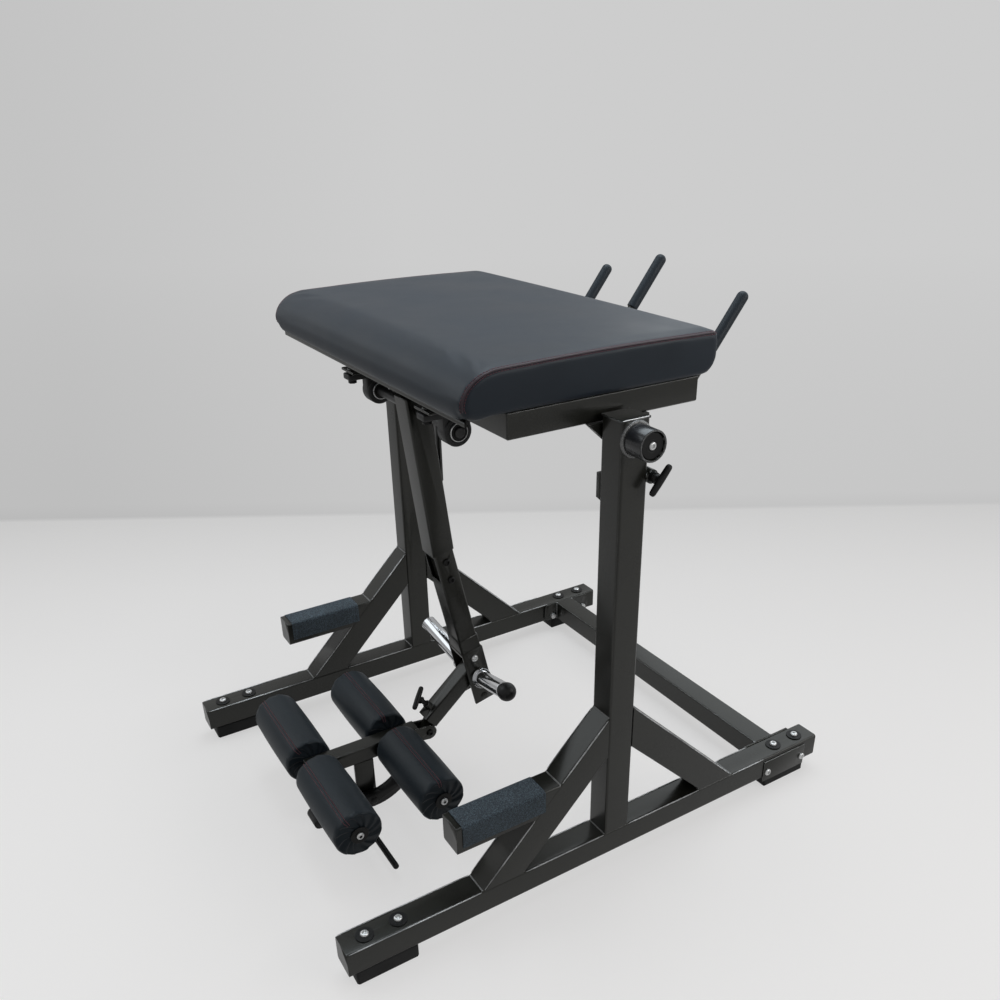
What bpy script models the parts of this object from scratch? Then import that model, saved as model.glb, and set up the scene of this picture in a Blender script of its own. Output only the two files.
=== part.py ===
"""Reverse hyperextension machine, built from separate parts in metres, +Z up.

+X is the side of the machine with the tilt pin, and +Y runs from the leg rollers
towards the hand grips. The origin lies on the floor in the middle of the base.
Places along Y are written as distances from the front ends of the floor rails.
"""

import math

import bmesh
import bpy
from mathutils import Matrix, Vector

X = Vector((1, 0, 0))
Y = Vector((0, 1, 0))
Z = Vector((0, 0, 1))
SIDES = (("right", 1), ("left", -1))

# Clearances
SEAT = 0.0003              # left between faces that touch
BORE_GAP = 0.0003          # between a pin or bolt and the flats of its hole
SIDE_PLAY = 0.0015         # beside a part that turns between two others
FUSE = 0.002               # how far welded shapes reach into each other
PAST = 0.010               # how far a cutter runs past what it cuts

# Floor frame
TUBE = 0.060               # rails and crossbar, outside
WALL = 0.003
CORNER = 0.005             # outside corner radius of the square tubes
RAIL_LENGTH = 1.293
RAIL_X = 0.480             # rail centre from the machine's middle
FOOT_HEIGHT = 0.038
FOOT_LENGTH = 0.136
FOOT_INSET = 0.003
FOOT_CHAMFER = 0.004
FOOT_Y = {"front": 0.084, "rear": RAIL_LENGTH - 0.099}
CROSSBAR_Y = RAIL_LENGTH - 0.122
RAIL_BOLT_Y = {"front": (0.050, 0.123), "rear": (CROSSBAR_Y, RAIL_LENGTH - 0.048)}
RAIL_BOLT_WASHER = 0.019   # radius
NUT_STRIP_THICKNESS = 0.006
NUT_STRIP_WIDTH = 0.024
NUT_STRIP_END = 0.012      # strip past each bolt
FLANGE_Y = CROSSBAR_Y + 0.009
FLANGE_LENGTH = 0.170
FLANGE_HEIGHT = 0.056
FLANGE_THICKNESS = 0.0057
FLANGE_CHAMFER = 0.010
FLANGE_DRAIN = 0.011       # radius of the hole that opens the crossbar's inside
FLANGE_BOLT_Y = (FLANGE_Y - 0.056, FLANGE_Y + 0.063)
FLANGE_BOLT_Z = 0.055

# Uprights and braces
UPRIGHT_Y = 0.650
UPRIGHT_DEPTH = 0.064
UPRIGHT_TOP = 1.049
CAP_THICKNESS = 0.004
CAP_OVERHANG = 0.0005
BRACE_DEPTH = 0.073
BRACE_ANGLE = math.radians(45)
FRONT_BRACE_Y = 0.3555     # where its centre line meets the rail's top
REAR_BRACE_Y = 0.949
FOOTHOLD_FRONT_Y = 0.250
FOOTHOLD_TOP = 0.291
FOOTHOLD_HEIGHT = 0.065
FOOTHOLD_VENT = 0.015      # radius of the hole from its inside into the brace
TAPE_FRONT_Y = 0.262
TAPE_REAR_Y = 0.458
TAPE_THICKNESS = 0.0015
TAPE_DROP = 0.051          # from the foothold's top down each side

# Tilt hubs, tilt plates and the tilt pin
TILT_Z = 1.011
HUB_RADIUS = 0.030
HUB_LENGTH = 0.050         # past the upright's outer face
HUB_COLLAR = 0.003         # ring at the hub's root, proud of the hub
HUB_RECESS_DEPTH = 0.008
HUB_LIP = 0.0035
TILT_AXLE = 0.0125         # radius
TILT_PLATE_THICKNESS = 0.012
TILT_PLATE_BOTTOM = 0.871
TILT_PLATE_TOE_TOP = 0.931 # the toe that shows in front of the upright's face
TILT_PLATE_TOE_Y = 0.6225
TILT_PLATE_FRONT_Y = 0.634
TILT_PLATE_REAR_Y = 0.733
TILT_PLATE_TOP_FRONT_Y = 0.592
TILT_PLATE_EDGE = 0.010    # chamfer and step size of its outline
PIN_Y = 0.694
PIN_Z = 0.930
PIN_RADIUS = 0.006
PIN_BOSS = 0.014           # radius
PIN_COLLAR = 0.010         # radius
PIN_COLLAR_LENGTH = 0.010
PIN_TRAVEL = 0.012
PIN_HANDLE_STANDOFF = 0.014
HANDLE_BAR_RADIUS = 0.0058
HANDLE_BAR_LENGTH = 0.067
PIN_HANDLE_TILT = math.radians(51)
TILT_RANGE = math.radians(20)

# Pad frame and pad
PAD_FRAME_SPACE = 0.010    # from each end to the rail's inner face, seen from above
PAD_TUBE = 0.050
PAD_TUBE_WALL = 0.0025
PAD_TUBE_CORNER = 0.003
PAD_FRAME_FRONT_Y = 0.423
PAD_FRAME_REAR_Y = 0.857
PAD_FRAME_BOTTOM = 1.030
PAD_BOLT = 0.0045          # radius of the holes for the pad's bolts
PAD_BOLT_X = 0.300
BOARD_INSET = 0.003        # from each end of the pad frame
BOARD_FRONT_Y = 0.342
BOARD_REAR_Y = 0.846
BOARD_THICKNESS = 0.005
BOARD_LIP = 0.017          # height of its folded front edge
PAD_OVERHANG = 0.016       # past each end of the pad frame
PAD_FRONT_Y = 0.326
PAD_REAR_Y = 0.889
PAD_THICKNESS = 0.0794
PAD_NOSE_LENGTH = 0.078    # along Y, from the flat top to the front
PAD_FRONT_FOOT = (0.034, 0.020)    # the curve under the nose, along Y and up
PAD_REAR_FOOT = (0.038, 0.032)     # the curve under the rear face, along Y and up
PAD_REAR_ROUND = 0.012
PAD_EDGE_ROUND = 0.009     # along the two side edges
PAD_SIDE_BULGE = 0.003
PAD_CROWN = 0.004

# Stop bar behind the pendulum
STOP_WIDTH = 0.032
STOP_THICKNESS = 0.006
STOP_BOTTOM = 0.802

# Hand grips
GRIP_LEAN = math.radians(52)
HANDLE_BAR_Y = 1.009
HANDLE_BAR_Z = 0.9864
HANDLE_BAR_TUBE = 0.016    # radius
HANDLE_BAR_WALL = 0.003
HANDLE_BAR_END = 0.012     # crossbar past each outer rod
HANDLE_BEAM = 0.040
HANDLE_BEAM_Z = 1.050      # where it leaves the pad frame
HANDLE_ROD = 0.010         # radius
OUTER_ROD_X = 0.244
OUTER_ROD_LENGTH = 0.2305
MIDDLE_ROD_Y = 0.955
MIDDLE_ROD_LENGTH = 0.269
GRIP_RADIUS = 0.013
GRIP_LENGTH = 0.130
GRIP_TIP = 0.010           # rubber past the rod's end

# Shaft and its bearings
SHAFT_Y = 0.458
SHAFT_Z = 0.976
SHAFT_RADIUS = 0.011
BEARING_X = 0.182
BEARING_HEIGHT = 0.0454    # from the shaft's centre to the foot's face
BEARING_RADIUS = 0.031
BEARING_WIDTH = 0.034
BEARING_FOOT_LENGTH = 0.147
BEARING_FOOT_THICKNESS = 0.014
BEARING_COLLAR = 0.020     # radius of the inner ring
BEARING_COLLAR_STANDOFF = 0.004
BEARING_BOLT_SPACING = 0.118
MOUNT_WIDTH = 0.064
MOUNT_THICKNESS = 0.006
MOUNT_EDGE = 0.011         # plate past each bolt centre
SHAFT_END = 0.004          # shaft past the bearing's ring

# Pendulum arm
ARM_WIDTH = 0.060
UPPER_ARM_DEPTH = 0.056
UPPER_ARM_LEAN = math.radians(6.6)
UPPER_ARM_LENGTH = 0.3444  # from the shaft to the joint of the two arms
UPPER_ARM_TOP = 0.030      # past the shaft
TONGUE_WIDTH = 0.040
TONGUE_DEPTH = 0.034
TONGUE_LENGTH = 0.095
LOWER_ARM_DEPTH = 0.050
LOWER_ARM_LEAN = math.radians(12.2)
LOWER_ARM_LENGTH = 0.296
ARM_BOLT_AT = (0.0246, 0.0737)     # down the lower arm from the joint
WINDOW_FROM = 0.008
WINDOW_TO = 0.075
WINDOW_WIDTH = 0.044
SLEEVE_FROM = 0.250        # collar round the lower arm's foot
SLEEVE_THICKNESS = 0.0025
CHEEK_THICKNESS = 0.006
CHEEK_WIDTH = 0.057
CHEEK_TO = 0.444           # down the lower arm from the joint
CHEEK_BOLT_AT = 0.309
CHEEK_NUT_AT = 0.432
PEG_AT = 0.3704
PEG_RADIUS = 0.0195
PEG_LENGTH = {"right": 0.176, "left": 0.168}
PEG_RISE = math.radians(20.5)
PEG_SWEEP = math.radians(9.3)      # forward, seen from above
PEG_SHOULDER = 0.025       # radius
PEG_SHOULDER_FROM = 0.012
PEG_SHOULDER_TO = 0.020
PEG_BALL = 0.0225          # radius
PEG_BALL_SEAT = 0.013      # radius of its flat

# Link from the arm's foot to the roller head
LINK_WIDTH = 0.044
LINK_DEPTH = 0.042
LINK_Y = 0.545             # a point on its centre line
LINK_Z = 0.262
LINK_SLOPE = math.radians(40.7)
LINK_END_CLEARANCE = 0.022 # from the hinge's centre to the link's end
LUG_HALF_WIDTH = 0.012
LUG_RADIUS = 0.018
LINK_PIN_Y = 0.451
LINK_PIN_COLLAR_LENGTH = 0.016
LINK_PIN_HANDLE = 0.062    # length
LINK_PIN_STANDOFF = 0.049  # handle's centre from the link's face
LINK_PIN_TURN = math.radians(32)

# Roller head
HEAD_Y = 0.437             # the hinge
HEAD_Z = 0.145
BEAM_WIDTH = 0.040
BEAM_FRONT_Y = 0.118
BEAM_REAR_Y = 0.405
BEAM_Z = 0.152
BEAM_CHEEK = 0.019         # radius about the hinge
ROLLER_Y = {"front": 0.136, "rear": 0.341}
ROLLER_AXLE = 0.008        # radius
ROLLER_RADIUS = 0.0555
ROLLER_INNER_X = 0.026
ROLLER_OUTER_X = 0.270
ROLLER_END_ROUND = 0.010
ROLLER_CROWN = 0.0015
ROLLER_PLEATS = 12
ROLLER_PLEAT_DEPTH = 0.0012
ROLLER_PLEATS_FROM = 0.6   # of the radius that the end is gathered to
ROLLER_WASHER = 0.020      # radius
ROLLER_WASHER_THICKNESS = 0.003
LEG_THICKNESS = 0.010
LEG_DEPTH = 0.048
LEG_Y = 0.255
LEG_CHAMFER = 0.010
LEVER_PIVOT_Y = 0.262
LEVER_PIVOT_Z = 0.028
LEVER_BOSS = 0.016         # radius
LEVER_INNER_X = 0.026
LEVER_OUTER_X = 0.046
LEVER_DEPTH = 0.036
LEVER_FRONT_Y = 0.112
LEVER_FRONT_RISE = 0.020
LEVER_BEND_RADIUS = 0.110
LEVER_BEND = math.radians(52)
LEVER_CAP_X = 0.075
LEVER_CAP_RADIUS = 0.015
PEDAL_Y = 0.207
PEDAL_RADIUS = 0.007
PEDAL_END_X = 0.290

# Fasteners
BOLT_RADIUS = 0.005
BUTTON_RADIUS = 0.009
BUTTON_HEIGHT = 0.0055
BUTTON_ROUNDING = 0.7      # share of its height
WASHER_THICKNESS = 0.002
NUT_RADIUS = 0.0095
NUT_HEIGHT = 0.008

# Sizes that follow from the ones above
RAIL_TOP = FOOT_HEIGHT + TUBE
RAIL_MIDDLE_Z = FOOT_HEIGHT + TUBE / 2
RAIL_INNER_X = RAIL_X - TUBE / 2
RAIL_OUTER_X = RAIL_X + TUBE / 2
UPRIGHT_FRONT_Y = UPRIGHT_Y - UPRIGHT_DEPTH / 2
UPRIGHT_REAR_Y = UPRIGHT_Y + UPRIGHT_DEPTH / 2
HUB_END_X = RAIL_OUTER_X + HUB_LENGTH
TILT_PLATE_OUTER_X = RAIL_INNER_X - 0.004
TILT_PLATE_INNER_X = TILT_PLATE_OUTER_X - TILT_PLATE_THICKNESS
PIN_ARC = math.hypot(PIN_Y - UPRIGHT_Y, TILT_Z - PIN_Z)
PAD_FRAME_HALF_WIDTH = RAIL_INNER_X - PAD_FRAME_SPACE
BOARD_HALF_WIDTH = PAD_FRAME_HALF_WIDTH - BOARD_INSET
PAD_HALF_WIDTH = PAD_FRAME_HALF_WIDTH + PAD_OVERHANG
PAD_FRAME_TOP = PAD_FRAME_BOTTOM + PAD_TUBE
BOARD_BOTTOM = PAD_FRAME_TOP + SEAT
PAD_BOTTOM = BOARD_BOTTOM + BOARD_THICKNESS + SEAT
PAD_TOP = PAD_BOTTOM + PAD_THICKNESS
BEARING_FACE_Z = SHAFT_Z + BEARING_HEIGHT
MOUNT_TOP = PAD_FRAME_BOTTOM - SEAT
UPPER_ARM_AXIS = Vector((0, math.sin(UPPER_ARM_LEAN), -math.cos(UPPER_ARM_LEAN)))
LOWER_ARM_AXIS = Vector((0, math.sin(LOWER_ARM_LEAN), -math.cos(LOWER_ARM_LEAN)))
LOWER_ARM_BACK = Vector((0, math.cos(LOWER_ARM_LEAN), math.sin(LOWER_ARM_LEAN)))
LINK_AXIS = Vector((0, -math.cos(LINK_SLOPE), -math.sin(LINK_SLOPE)))
LINK_UP = Vector((0, -math.sin(LINK_SLOPE), math.cos(LINK_SLOPE)))
GRIP_AXIS = Vector((0, math.cos(GRIP_LEAN), math.sin(GRIP_LEAN)))


def place(x, y, z):
    """A point whose y is counted back from the front ends of the rails."""
    return Vector((x, y - RAIL_LENGTH / 2, z))


# Shapes

def clear_scene():
    for item in list(bpy.data.objects):
        bpy.data.objects.remove(item)


def new_shape(points, faces):
    """A closed mesh object from points and faces, turned outward if it is inside out."""
    shell = bmesh.new()
    corners = [shell.verts.new(point) for point in points]
    for face in faces:
        shell.faces.new([corners[index] for index in face])
    if shell.calc_volume(signed=True) < 0:
        bmesh.ops.reverse_faces(shell, faces=shell.faces)
    mesh = bpy.data.meshes.new("shape")
    shell.to_mesh(mesh)
    shell.free()
    shape = bpy.data.objects.new("shape", mesh)
    bpy.context.scene.collection.objects.link(shape)
    return shape


def prism(outline, offset):
    """A flat outline pushed along an offset."""
    count = len(outline)
    points = list(outline) + [corner + offset for corner in outline]
    faces = [tuple(range(count))[::-1], tuple(range(count, 2 * count))]
    for index in range(count):
        after = (index + 1) % count
        faces.append((index, after, after + count, index + count))
    return new_shape(points, faces)


def plate(outline, from_x, to_x):
    """A plate square to X, from an outline of (y, z) places."""
    return prism([place(from_x, y, z) for y, z in outline], X * (to_x - from_x))


def block(x_range, y_range, z_range):
    low_y, high_y = y_range
    low_z, high_z = z_range
    corners = [(low_y, low_z), (high_y, low_z), (high_y, high_z), (low_y, high_z)]
    return plate(corners, *x_range)


def arc(centre, radius, from_degrees, to_degrees, steps):
    """Places on an arc, with angles from +Y towards +Z."""
    places = []
    for step in range(steps + 1):
        angle = math.radians(from_degrees + (to_degrees - from_degrees) * step / steps)
        places.append((centre[0] + radius * math.cos(angle), centre[1] + radius * math.sin(angle)))
    return places


def frame_about(axis):
    """Two directions square to an axis: X where it can be, and the one left over."""
    side = X if abs(axis.dot(X)) < 0.9 else Y
    side = (side - axis * side.dot(axis)).normalized()
    return side, axis.cross(side)


def facets(radius):
    """How many sides stand in for a circle of this radius."""
    if radius < 0.010:
        return 12
    return 16 if radius < 0.023 else 24


def turned(profile, start, axis, segments=None):
    """A solid of revolution from (distance along the axis, radius) pairs."""
    axis = axis.normalized()
    segments = segments or facets(max(radius for _, radius in profile))
    side, up = frame_about(axis)
    points = []
    rings = []
    for distance, radius in profile:
        centre = start + axis * distance
        if radius == 0:
            rings.append([len(points)])
            points.append(centre)
            continue
        rings.append(list(range(len(points), len(points) + segments)))
        for step in range(segments):
            angle = 2 * math.pi * step / segments
            points.append(centre + (side * math.cos(angle) + up * math.sin(angle)) * radius)
    faces = []
    for lower, upper in zip(rings, rings[1:]):
        faces += bridge(lower, upper)
    if len(rings[0]) > 1:
        faces.append(tuple(reversed(rings[0])))
    if len(rings[-1]) > 1:
        faces.append(tuple(rings[-1]))
    return new_shape(points, faces)


def bridge(lower, upper):
    """Faces between two rings of the same count, or between a ring and a pole."""
    count = max(len(lower), len(upper))
    faces = []
    for step in range(count):
        after = (step + 1) % count
        if len(lower) == 1:
            faces.append((lower[0], upper[after], upper[step]))
        elif len(upper) == 1:
            faces.append((lower[step], lower[after], upper[0]))
        else:
            faces.append((lower[step], lower[after], upper[after], upper[step]))
    return faces


def rod(start, end, radius, segments=None):
    return turned([(0, radius), ((end - start).length, radius)], start, end - start, segments)


def hole_radius(radius):
    """The radius whose flats, not its corners, clear a round part of this radius."""
    return (radius + BORE_GAP) / math.cos(math.pi / facets(radius))


def hole(start, end, radius):
    reach = (end - start).normalized() * PAST
    return rod(start - reach, end + reach, hole_radius(radius), facets(radius))


def dome(length, radius, rounding, steps=3):
    """A turned profile with a flat foot and a rounded far end."""
    profile = [(0, radius)]
    for step in range(steps + 1):
        angle = math.pi / 2 * step / steps
        inset = rounding * (1 - math.cos(angle))
        profile.append((length - rounding + rounding * math.sin(angle), max(radius - inset, 0)))
    return profile


def section(width, depth, corner, steps=2):
    """A rectangle with rounded corners, as (side, up) pairs."""
    pairs = []
    for turn, (across, along) in enumerate(((1, 1), (-1, 1), (-1, -1), (1, -1))):
        for step in range(steps + 1):
            angle = math.pi / 2 * (turn + step / max(steps, 1))
            pairs.append((across * (width / 2 - corner) + corner * math.cos(angle),
                          along * (depth / 2 - corner) + corner * math.sin(angle)))
    return pairs


def tube(start, end, width, depth, wall=WALL, start_cut=None, end_cut=None,
         closed_start=False, closed_end=False, corner=CORNER):
    """A square tube whose ends are cut square, or along a plane with a given normal."""
    axis = (end - start).normalized()
    side, up = frame_about(axis)
    start_cut = start_cut or axis
    end_cut = end_cut or axis
    outer = section(width, depth, corner)
    inner = section(width - 2 * wall, depth - 2 * wall, max(corner - wall, wall / 4))
    count = len(outer)

    def ring(pairs, middle, normal):
        corners = []
        for across, along in pairs:
            corner_point = middle + side * across + up * along
            slide = (middle - corner_point).dot(normal) / axis.dot(normal)
            corners.append(corner_point + axis * slide)
        return corners

    inner_start = start + axis * wall if closed_start else start
    inner_end = end - axis * wall if closed_end else end
    points = ring(outer, start, start_cut) + ring(outer, end, end_cut)
    points += ring(inner, inner_start, start_cut) + ring(inner, inner_end, end_cut)
    rings = [list(range(count * number, count * (number + 1))) for number in range(4)]
    faces = bridge(rings[0], rings[1])
    faces += [face[::-1] for face in bridge(rings[2], rings[3])]
    if closed_start:
        faces += [tuple(rings[0][::-1]), tuple(rings[2])]
    else:
        faces += bridge(rings[2], rings[0])
    if closed_end:
        faces += [tuple(rings[1]), tuple(rings[3][::-1])]
    else:
        faces += bridge(rings[1], rings[3])
    return new_shape(points, faces)


def bar(start, end, width, depth, corner=0):
    """A solid square bar between two points."""
    side, up = frame_about((end - start).normalized())
    pairs = section(width, depth, corner, 2 if corner else 0)
    return prism([start + side * across + up * along for across, along in pairs], end - start)


def combine(base, others, operation):
    for other in others:
        modifier = base.modifiers.new(operation, "BOOLEAN")
        modifier.operation = operation
        modifier.solver = "EXACT"
        modifier.object = other
    apply_modifiers(base)
    for other in others:
        bpy.data.objects.remove(other)
    return base


def apply_modifiers(shape):
    graph = bpy.context.evaluated_depsgraph_get()
    mesh = bpy.data.meshes.new_from_object(shape.evaluated_get(graph))
    shape.modifiers.clear()
    shape.data = mesh


def fuse(base, *others):
    return combine(base, others, "UNION")


def cut(base, *others):
    return combine(base, others, "DIFFERENCE")


def soften(shape, width, segments=1):
    """Rounds the shape's hard edges."""
    modifier = shape.modifiers.new("rounding", "BEVEL")
    modifier.width = width
    modifier.segments = segments
    modifier.limit_method = "ANGLE"
    modifier.angle_limit = math.radians(50)
    apply_modifiers(shape)
    return shape


# Materials

MATERIALS = {
    "frame_paint": ((0.060, 0.062, 0.055), 0.38, 0.60),
    "pad_vinyl": ((0.020, 0.024, 0.030), 0.55, 0.0),
    "grip_tape": ((0.030, 0.038, 0.048), 0.95, 0.0),
    "grip_rubber": ((0.018, 0.022, 0.028), 0.70, 0.0),
    "foot_rubber": ((0.010, 0.010, 0.010), 0.80, 0.0),
    "chrome": ((0.75, 0.75, 0.74), 0.12, 1.0),
    "zinc": ((0.70, 0.70, 0.69), 0.30, 1.0),
    "black_steel": ((0.018, 0.018, 0.020), 0.35, 0.80),
    "bearing_iron": ((0.022, 0.023, 0.024), 0.45, 0.50),
}


def material_named(name):
    found = bpy.data.materials.get(name)
    if found:
        return found
    colour, roughness, metallic = MATERIALS[name]
    made = bpy.data.materials.new(name)
    made.use_nodes = True
    shader = made.node_tree.nodes["Principled BSDF"]
    shader.inputs["Base Color"].default_value = (*colour, 1)
    shader.inputs["Roughness"].default_value = roughness
    shader.inputs["Metallic"].default_value = metallic
    made.diffuse_color = (*colour, 1)
    return made


def pivot(name, spot, parent=None):
    """An empty on a joint's axis, which carries the pieces that turn about it."""
    empty = bpy.data.objects.new(name, None)
    bpy.context.scene.collection.objects.link(empty)
    empty.empty_display_size = 0.05
    empty.parent = parent
    empty.location = spot - (world_place(parent) if parent else Vector())
    return empty


def world_place(item):
    """Where an unturned item stands, through the chain of its parents."""
    spot = Vector()
    while item:
        spot += item.location
        item = item.parent
    return spot


def finish(shape, name, material, parent=None, origin=None):
    """Names a shape, gives it its material and hangs it on its parent."""
    parent_spot = world_place(parent) if parent else Vector()
    origin = parent_spot if origin is None else origin
    shape.data.transform(Matrix.Translation(-origin))
    shape.location = origin - parent_spot
    shape.parent = parent
    shape.name = name
    shape.data.name = name
    shape.data.materials.clear()
    shape.data.materials.append(material_named(material))
    shape.data.shade_smooth()
    shape.data.set_sharp_from_angle(angle=math.radians(32))
    return shape


def button(seat, axis, radius=BUTTON_RADIUS, height=BUTTON_HEIGHT):
    """A low round bolt head that rises from its seat along an axis."""
    return turned(dome(height, radius, height * BUTTON_ROUNDING, 2), seat, axis)


def nut(seat, axis):
    return rod(seat, seat + axis * NUT_HEIGHT, NUT_RADIUS, 6)


def cross_bolt(head_seat, nut_seat):
    """A bolt between two seats, with a round head at one end and a nut at the other."""
    axis = (head_seat - nut_seat).normalized()
    shank = rod(nut_seat - axis * NUT_HEIGHT / 2, head_seat + axis * BUTTON_HEIGHT / 2, BOLT_RADIUS)
    head = button(head_seat + axis * SEAT, axis)
    return fuse(shank, head, nut(nut_seat - axis * SEAT, -axis))


# Floor frame

def rail(word, side):
    start = place(side * RAIL_X, 0, RAIL_MIDDLE_Z)
    end = place(side * RAIL_X, RAIL_LENGTH, RAIL_MIDDLE_Z)
    shape = tube(start, end, TUBE, TUBE, closed_start=True, closed_end=True)
    cutters = []
    for end_name in ("front", "rear"):
        for y in RAIL_BOLT_Y[end_name]:
            top = place(side * RAIL_X, y, RAIL_TOP)
            cutters.append(hole(top, top - Z * WALL, BOLT_RADIUS))
    for y in FLANGE_BOLT_Y:
        inner = place(side * RAIL_INNER_X, y, FLANGE_BOLT_Z)
        cutters.append(hole(inner, inner + X * side * TUBE, BOLT_RADIUS))
    finish(cut(shape, *cutters), f"rail_{word}", "frame_paint")


def rail_bolts(word, side, end_name):
    """Two bolts from the rail's top into one threaded strip inside the rail."""
    strip_top = RAIL_TOP - WALL - SEAT
    places = RAIL_BOLT_Y[end_name]
    shape = block((side * RAIL_X - NUT_STRIP_WIDTH / 2, side * RAIL_X + NUT_STRIP_WIDTH / 2),
                  (places[0] - NUT_STRIP_END, places[1] + NUT_STRIP_END),
                  (strip_top - NUT_STRIP_THICKNESS, strip_top))
    foot_z = strip_top - NUT_STRIP_THICKNESS - BOLT_RADIUS
    washer_from = RAIL_TOP + SEAT - foot_z
    washer_to = washer_from + WASHER_THICKNESS
    profile = [(0, BOLT_RADIUS), (washer_from, BOLT_RADIUS), (washer_from, RAIL_BOLT_WASHER),
               (washer_to, RAIL_BOLT_WASHER)]
    head = dome(BUTTON_HEIGHT, BUTTON_RADIUS, BUTTON_HEIGHT * BUTTON_ROUNDING, 2)
    profile += [(washer_to + rise, radius) for rise, radius in head]
    bolts = [turned(profile, place(side * RAIL_X, y, foot_z), Z, facets(BOLT_RADIUS)) for y in places]
    finish(fuse(shape, *bolts), f"rail_bolts_{end_name}_{word}", "zinc")


def rubber_foot(word, side, end_name):
    half = TUBE / 2 - FOOT_INSET
    middle = FOOT_Y[end_name]
    shape = block((side * RAIL_X - half, side * RAIL_X + half),
                  (middle - FOOT_LENGTH / 2, middle + FOOT_LENGTH / 2),
                  (0, FOOT_HEIGHT - SEAT))
    finish(soften(shape, FOOT_CHAMFER), f"rubber_foot_{end_name}_{word}", "foot_rubber")


def rear_crossbar():
    outer = RAIL_INNER_X - SEAT
    inner = outer - FLANGE_THICKNESS
    half = FLANGE_LENGTH / 2
    low = RAIL_MIDDLE_Z - FLANGE_HEIGHT / 2
    high = RAIL_MIDDLE_Z + FLANGE_HEIGHT / 2
    c = FLANGE_CHAMFER
    front = FLANGE_Y - half
    rear = FLANGE_Y + half
    outline = [(front + c, low), (rear - c, low), (rear, low + c), (rear, high - c),
               (rear - c, high), (front + c, high), (front, high - c), (front, low + c)]
    reach = inner + FLANGE_THICKNESS / 2
    shape = tube(place(-reach, CROSSBAR_Y, RAIL_MIDDLE_Z), place(reach, CROSSBAR_Y, RAIL_MIDDLE_Z),
                 TUBE, TUBE)
    flanges = [plate(outline, side * inner, side * outer) for _, side in SIDES]
    cutters = []
    for _, side in SIDES:
        face = place(side * inner, CROSSBAR_Y, RAIL_MIDDLE_Z)
        cutters.append(hole(face, face + X * side * FLANGE_THICKNESS, FLANGE_DRAIN))
        for y in FLANGE_BOLT_Y:
            face = place(side * inner, y, FLANGE_BOLT_Z)
            cutters.append(hole(face, face + X * side * FLANGE_THICKNESS, BOLT_RADIUS))
    finish(cut(fuse(shape, *flanges), *cutters), "rear_crossbar", "frame_paint")


def crossbar_bolts(word, side):
    for number, y in enumerate(FLANGE_BOLT_Y, 1):
        head_seat = place(side * RAIL_OUTER_X, y, FLANGE_BOLT_Z)
        nut_seat = place(side * (RAIL_INNER_X - SEAT - FLANGE_THICKNESS), y, FLANGE_BOLT_Z)
        finish(cross_bolt(head_seat, nut_seat), f"crossbar_bolt_{number}_{word}", "zinc")


def front_brace(word, side):
    """The sloping brace with the foothold arm welded to its front."""
    middle_x = side * RAIL_X
    lean = Vector((0, math.cos(BRACE_ANGLE), math.sin(BRACE_ANGLE)))
    foot = place(middle_x, FRONT_BRACE_Y, RAIL_TOP + SEAT)
    run = UPRIGHT_FRONT_Y - SEAT - FRONT_BRACE_Y
    head = foot + Vector((0, run, run * math.tan(BRACE_ANGLE)))
    brace = tube(foot, head, TUBE, BRACE_DEPTH, start_cut=Z, end_cut=Y)
    arm_z = FOOTHOLD_TOP - FOOTHOLD_HEIGHT / 2
    front_normal = Vector((0, -math.sin(BRACE_ANGLE), math.cos(BRACE_ANGLE)))
    face_drop = BRACE_DEPTH / 2 / math.sin(BRACE_ANGLE)
    arm_rise = (arm_z - RAIL_TOP - SEAT) / math.tan(BRACE_ANGLE)
    arm_end = place(middle_x, FRONT_BRACE_Y + arm_rise - face_drop + WALL / 2, arm_z)
    arm = tube(place(middle_x, FOOTHOLD_FRONT_Y, arm_z), arm_end, TUBE, FOOTHOLD_HEIGHT,
               end_cut=front_normal, closed_start=True)
    vent = hole(arm_end - Y * BRACE_DEPTH / 4, arm_end + Y * BRACE_DEPTH / 4, FOOTHOLD_VENT)
    finish(cut(fuse(brace, arm), vent), f"front_brace_{word}", "frame_paint")


def rear_brace(word, side):
    foot = place(side * RAIL_X, REAR_BRACE_Y, RAIL_TOP + SEAT)
    run = REAR_BRACE_Y - UPRIGHT_REAR_Y - SEAT
    head = foot + Vector((0, -run, run * math.tan(BRACE_ANGLE)))
    shape = tube(foot, head, TUBE, BRACE_DEPTH, start_cut=Z, end_cut=Y)
    finish(shape, f"rear_brace_{word}", "frame_paint")


def grip_tape(word, side):
    """Anti-slip tape folded over the foothold arm."""
    middle_z = FOOTHOLD_TOP - FOOTHOLD_HEIGHT / 2

    def fold(offset):
        pairs = section(TUBE + 2 * offset, FOOTHOLD_HEIGHT + 2 * offset, CORNER + offset)
        upper = [pair for pair in pairs if pair[1] > 0]
        bottom = FOOTHOLD_TOP - TAPE_DROP - middle_z
        return [(upper[0][0], bottom)] + upper + [(upper[-1][0], bottom)]

    outline = fold(SEAT + TAPE_THICKNESS) + fold(SEAT)[::-1]
    corners = [place(side * RAIL_X + across, TAPE_FRONT_Y, middle_z + up) for across, up in outline]
    shape = prism(corners, Y * (TAPE_REAR_Y - TAPE_FRONT_Y))
    finish(shape, f"grip_tape_{word}", "grip_tape")


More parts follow.
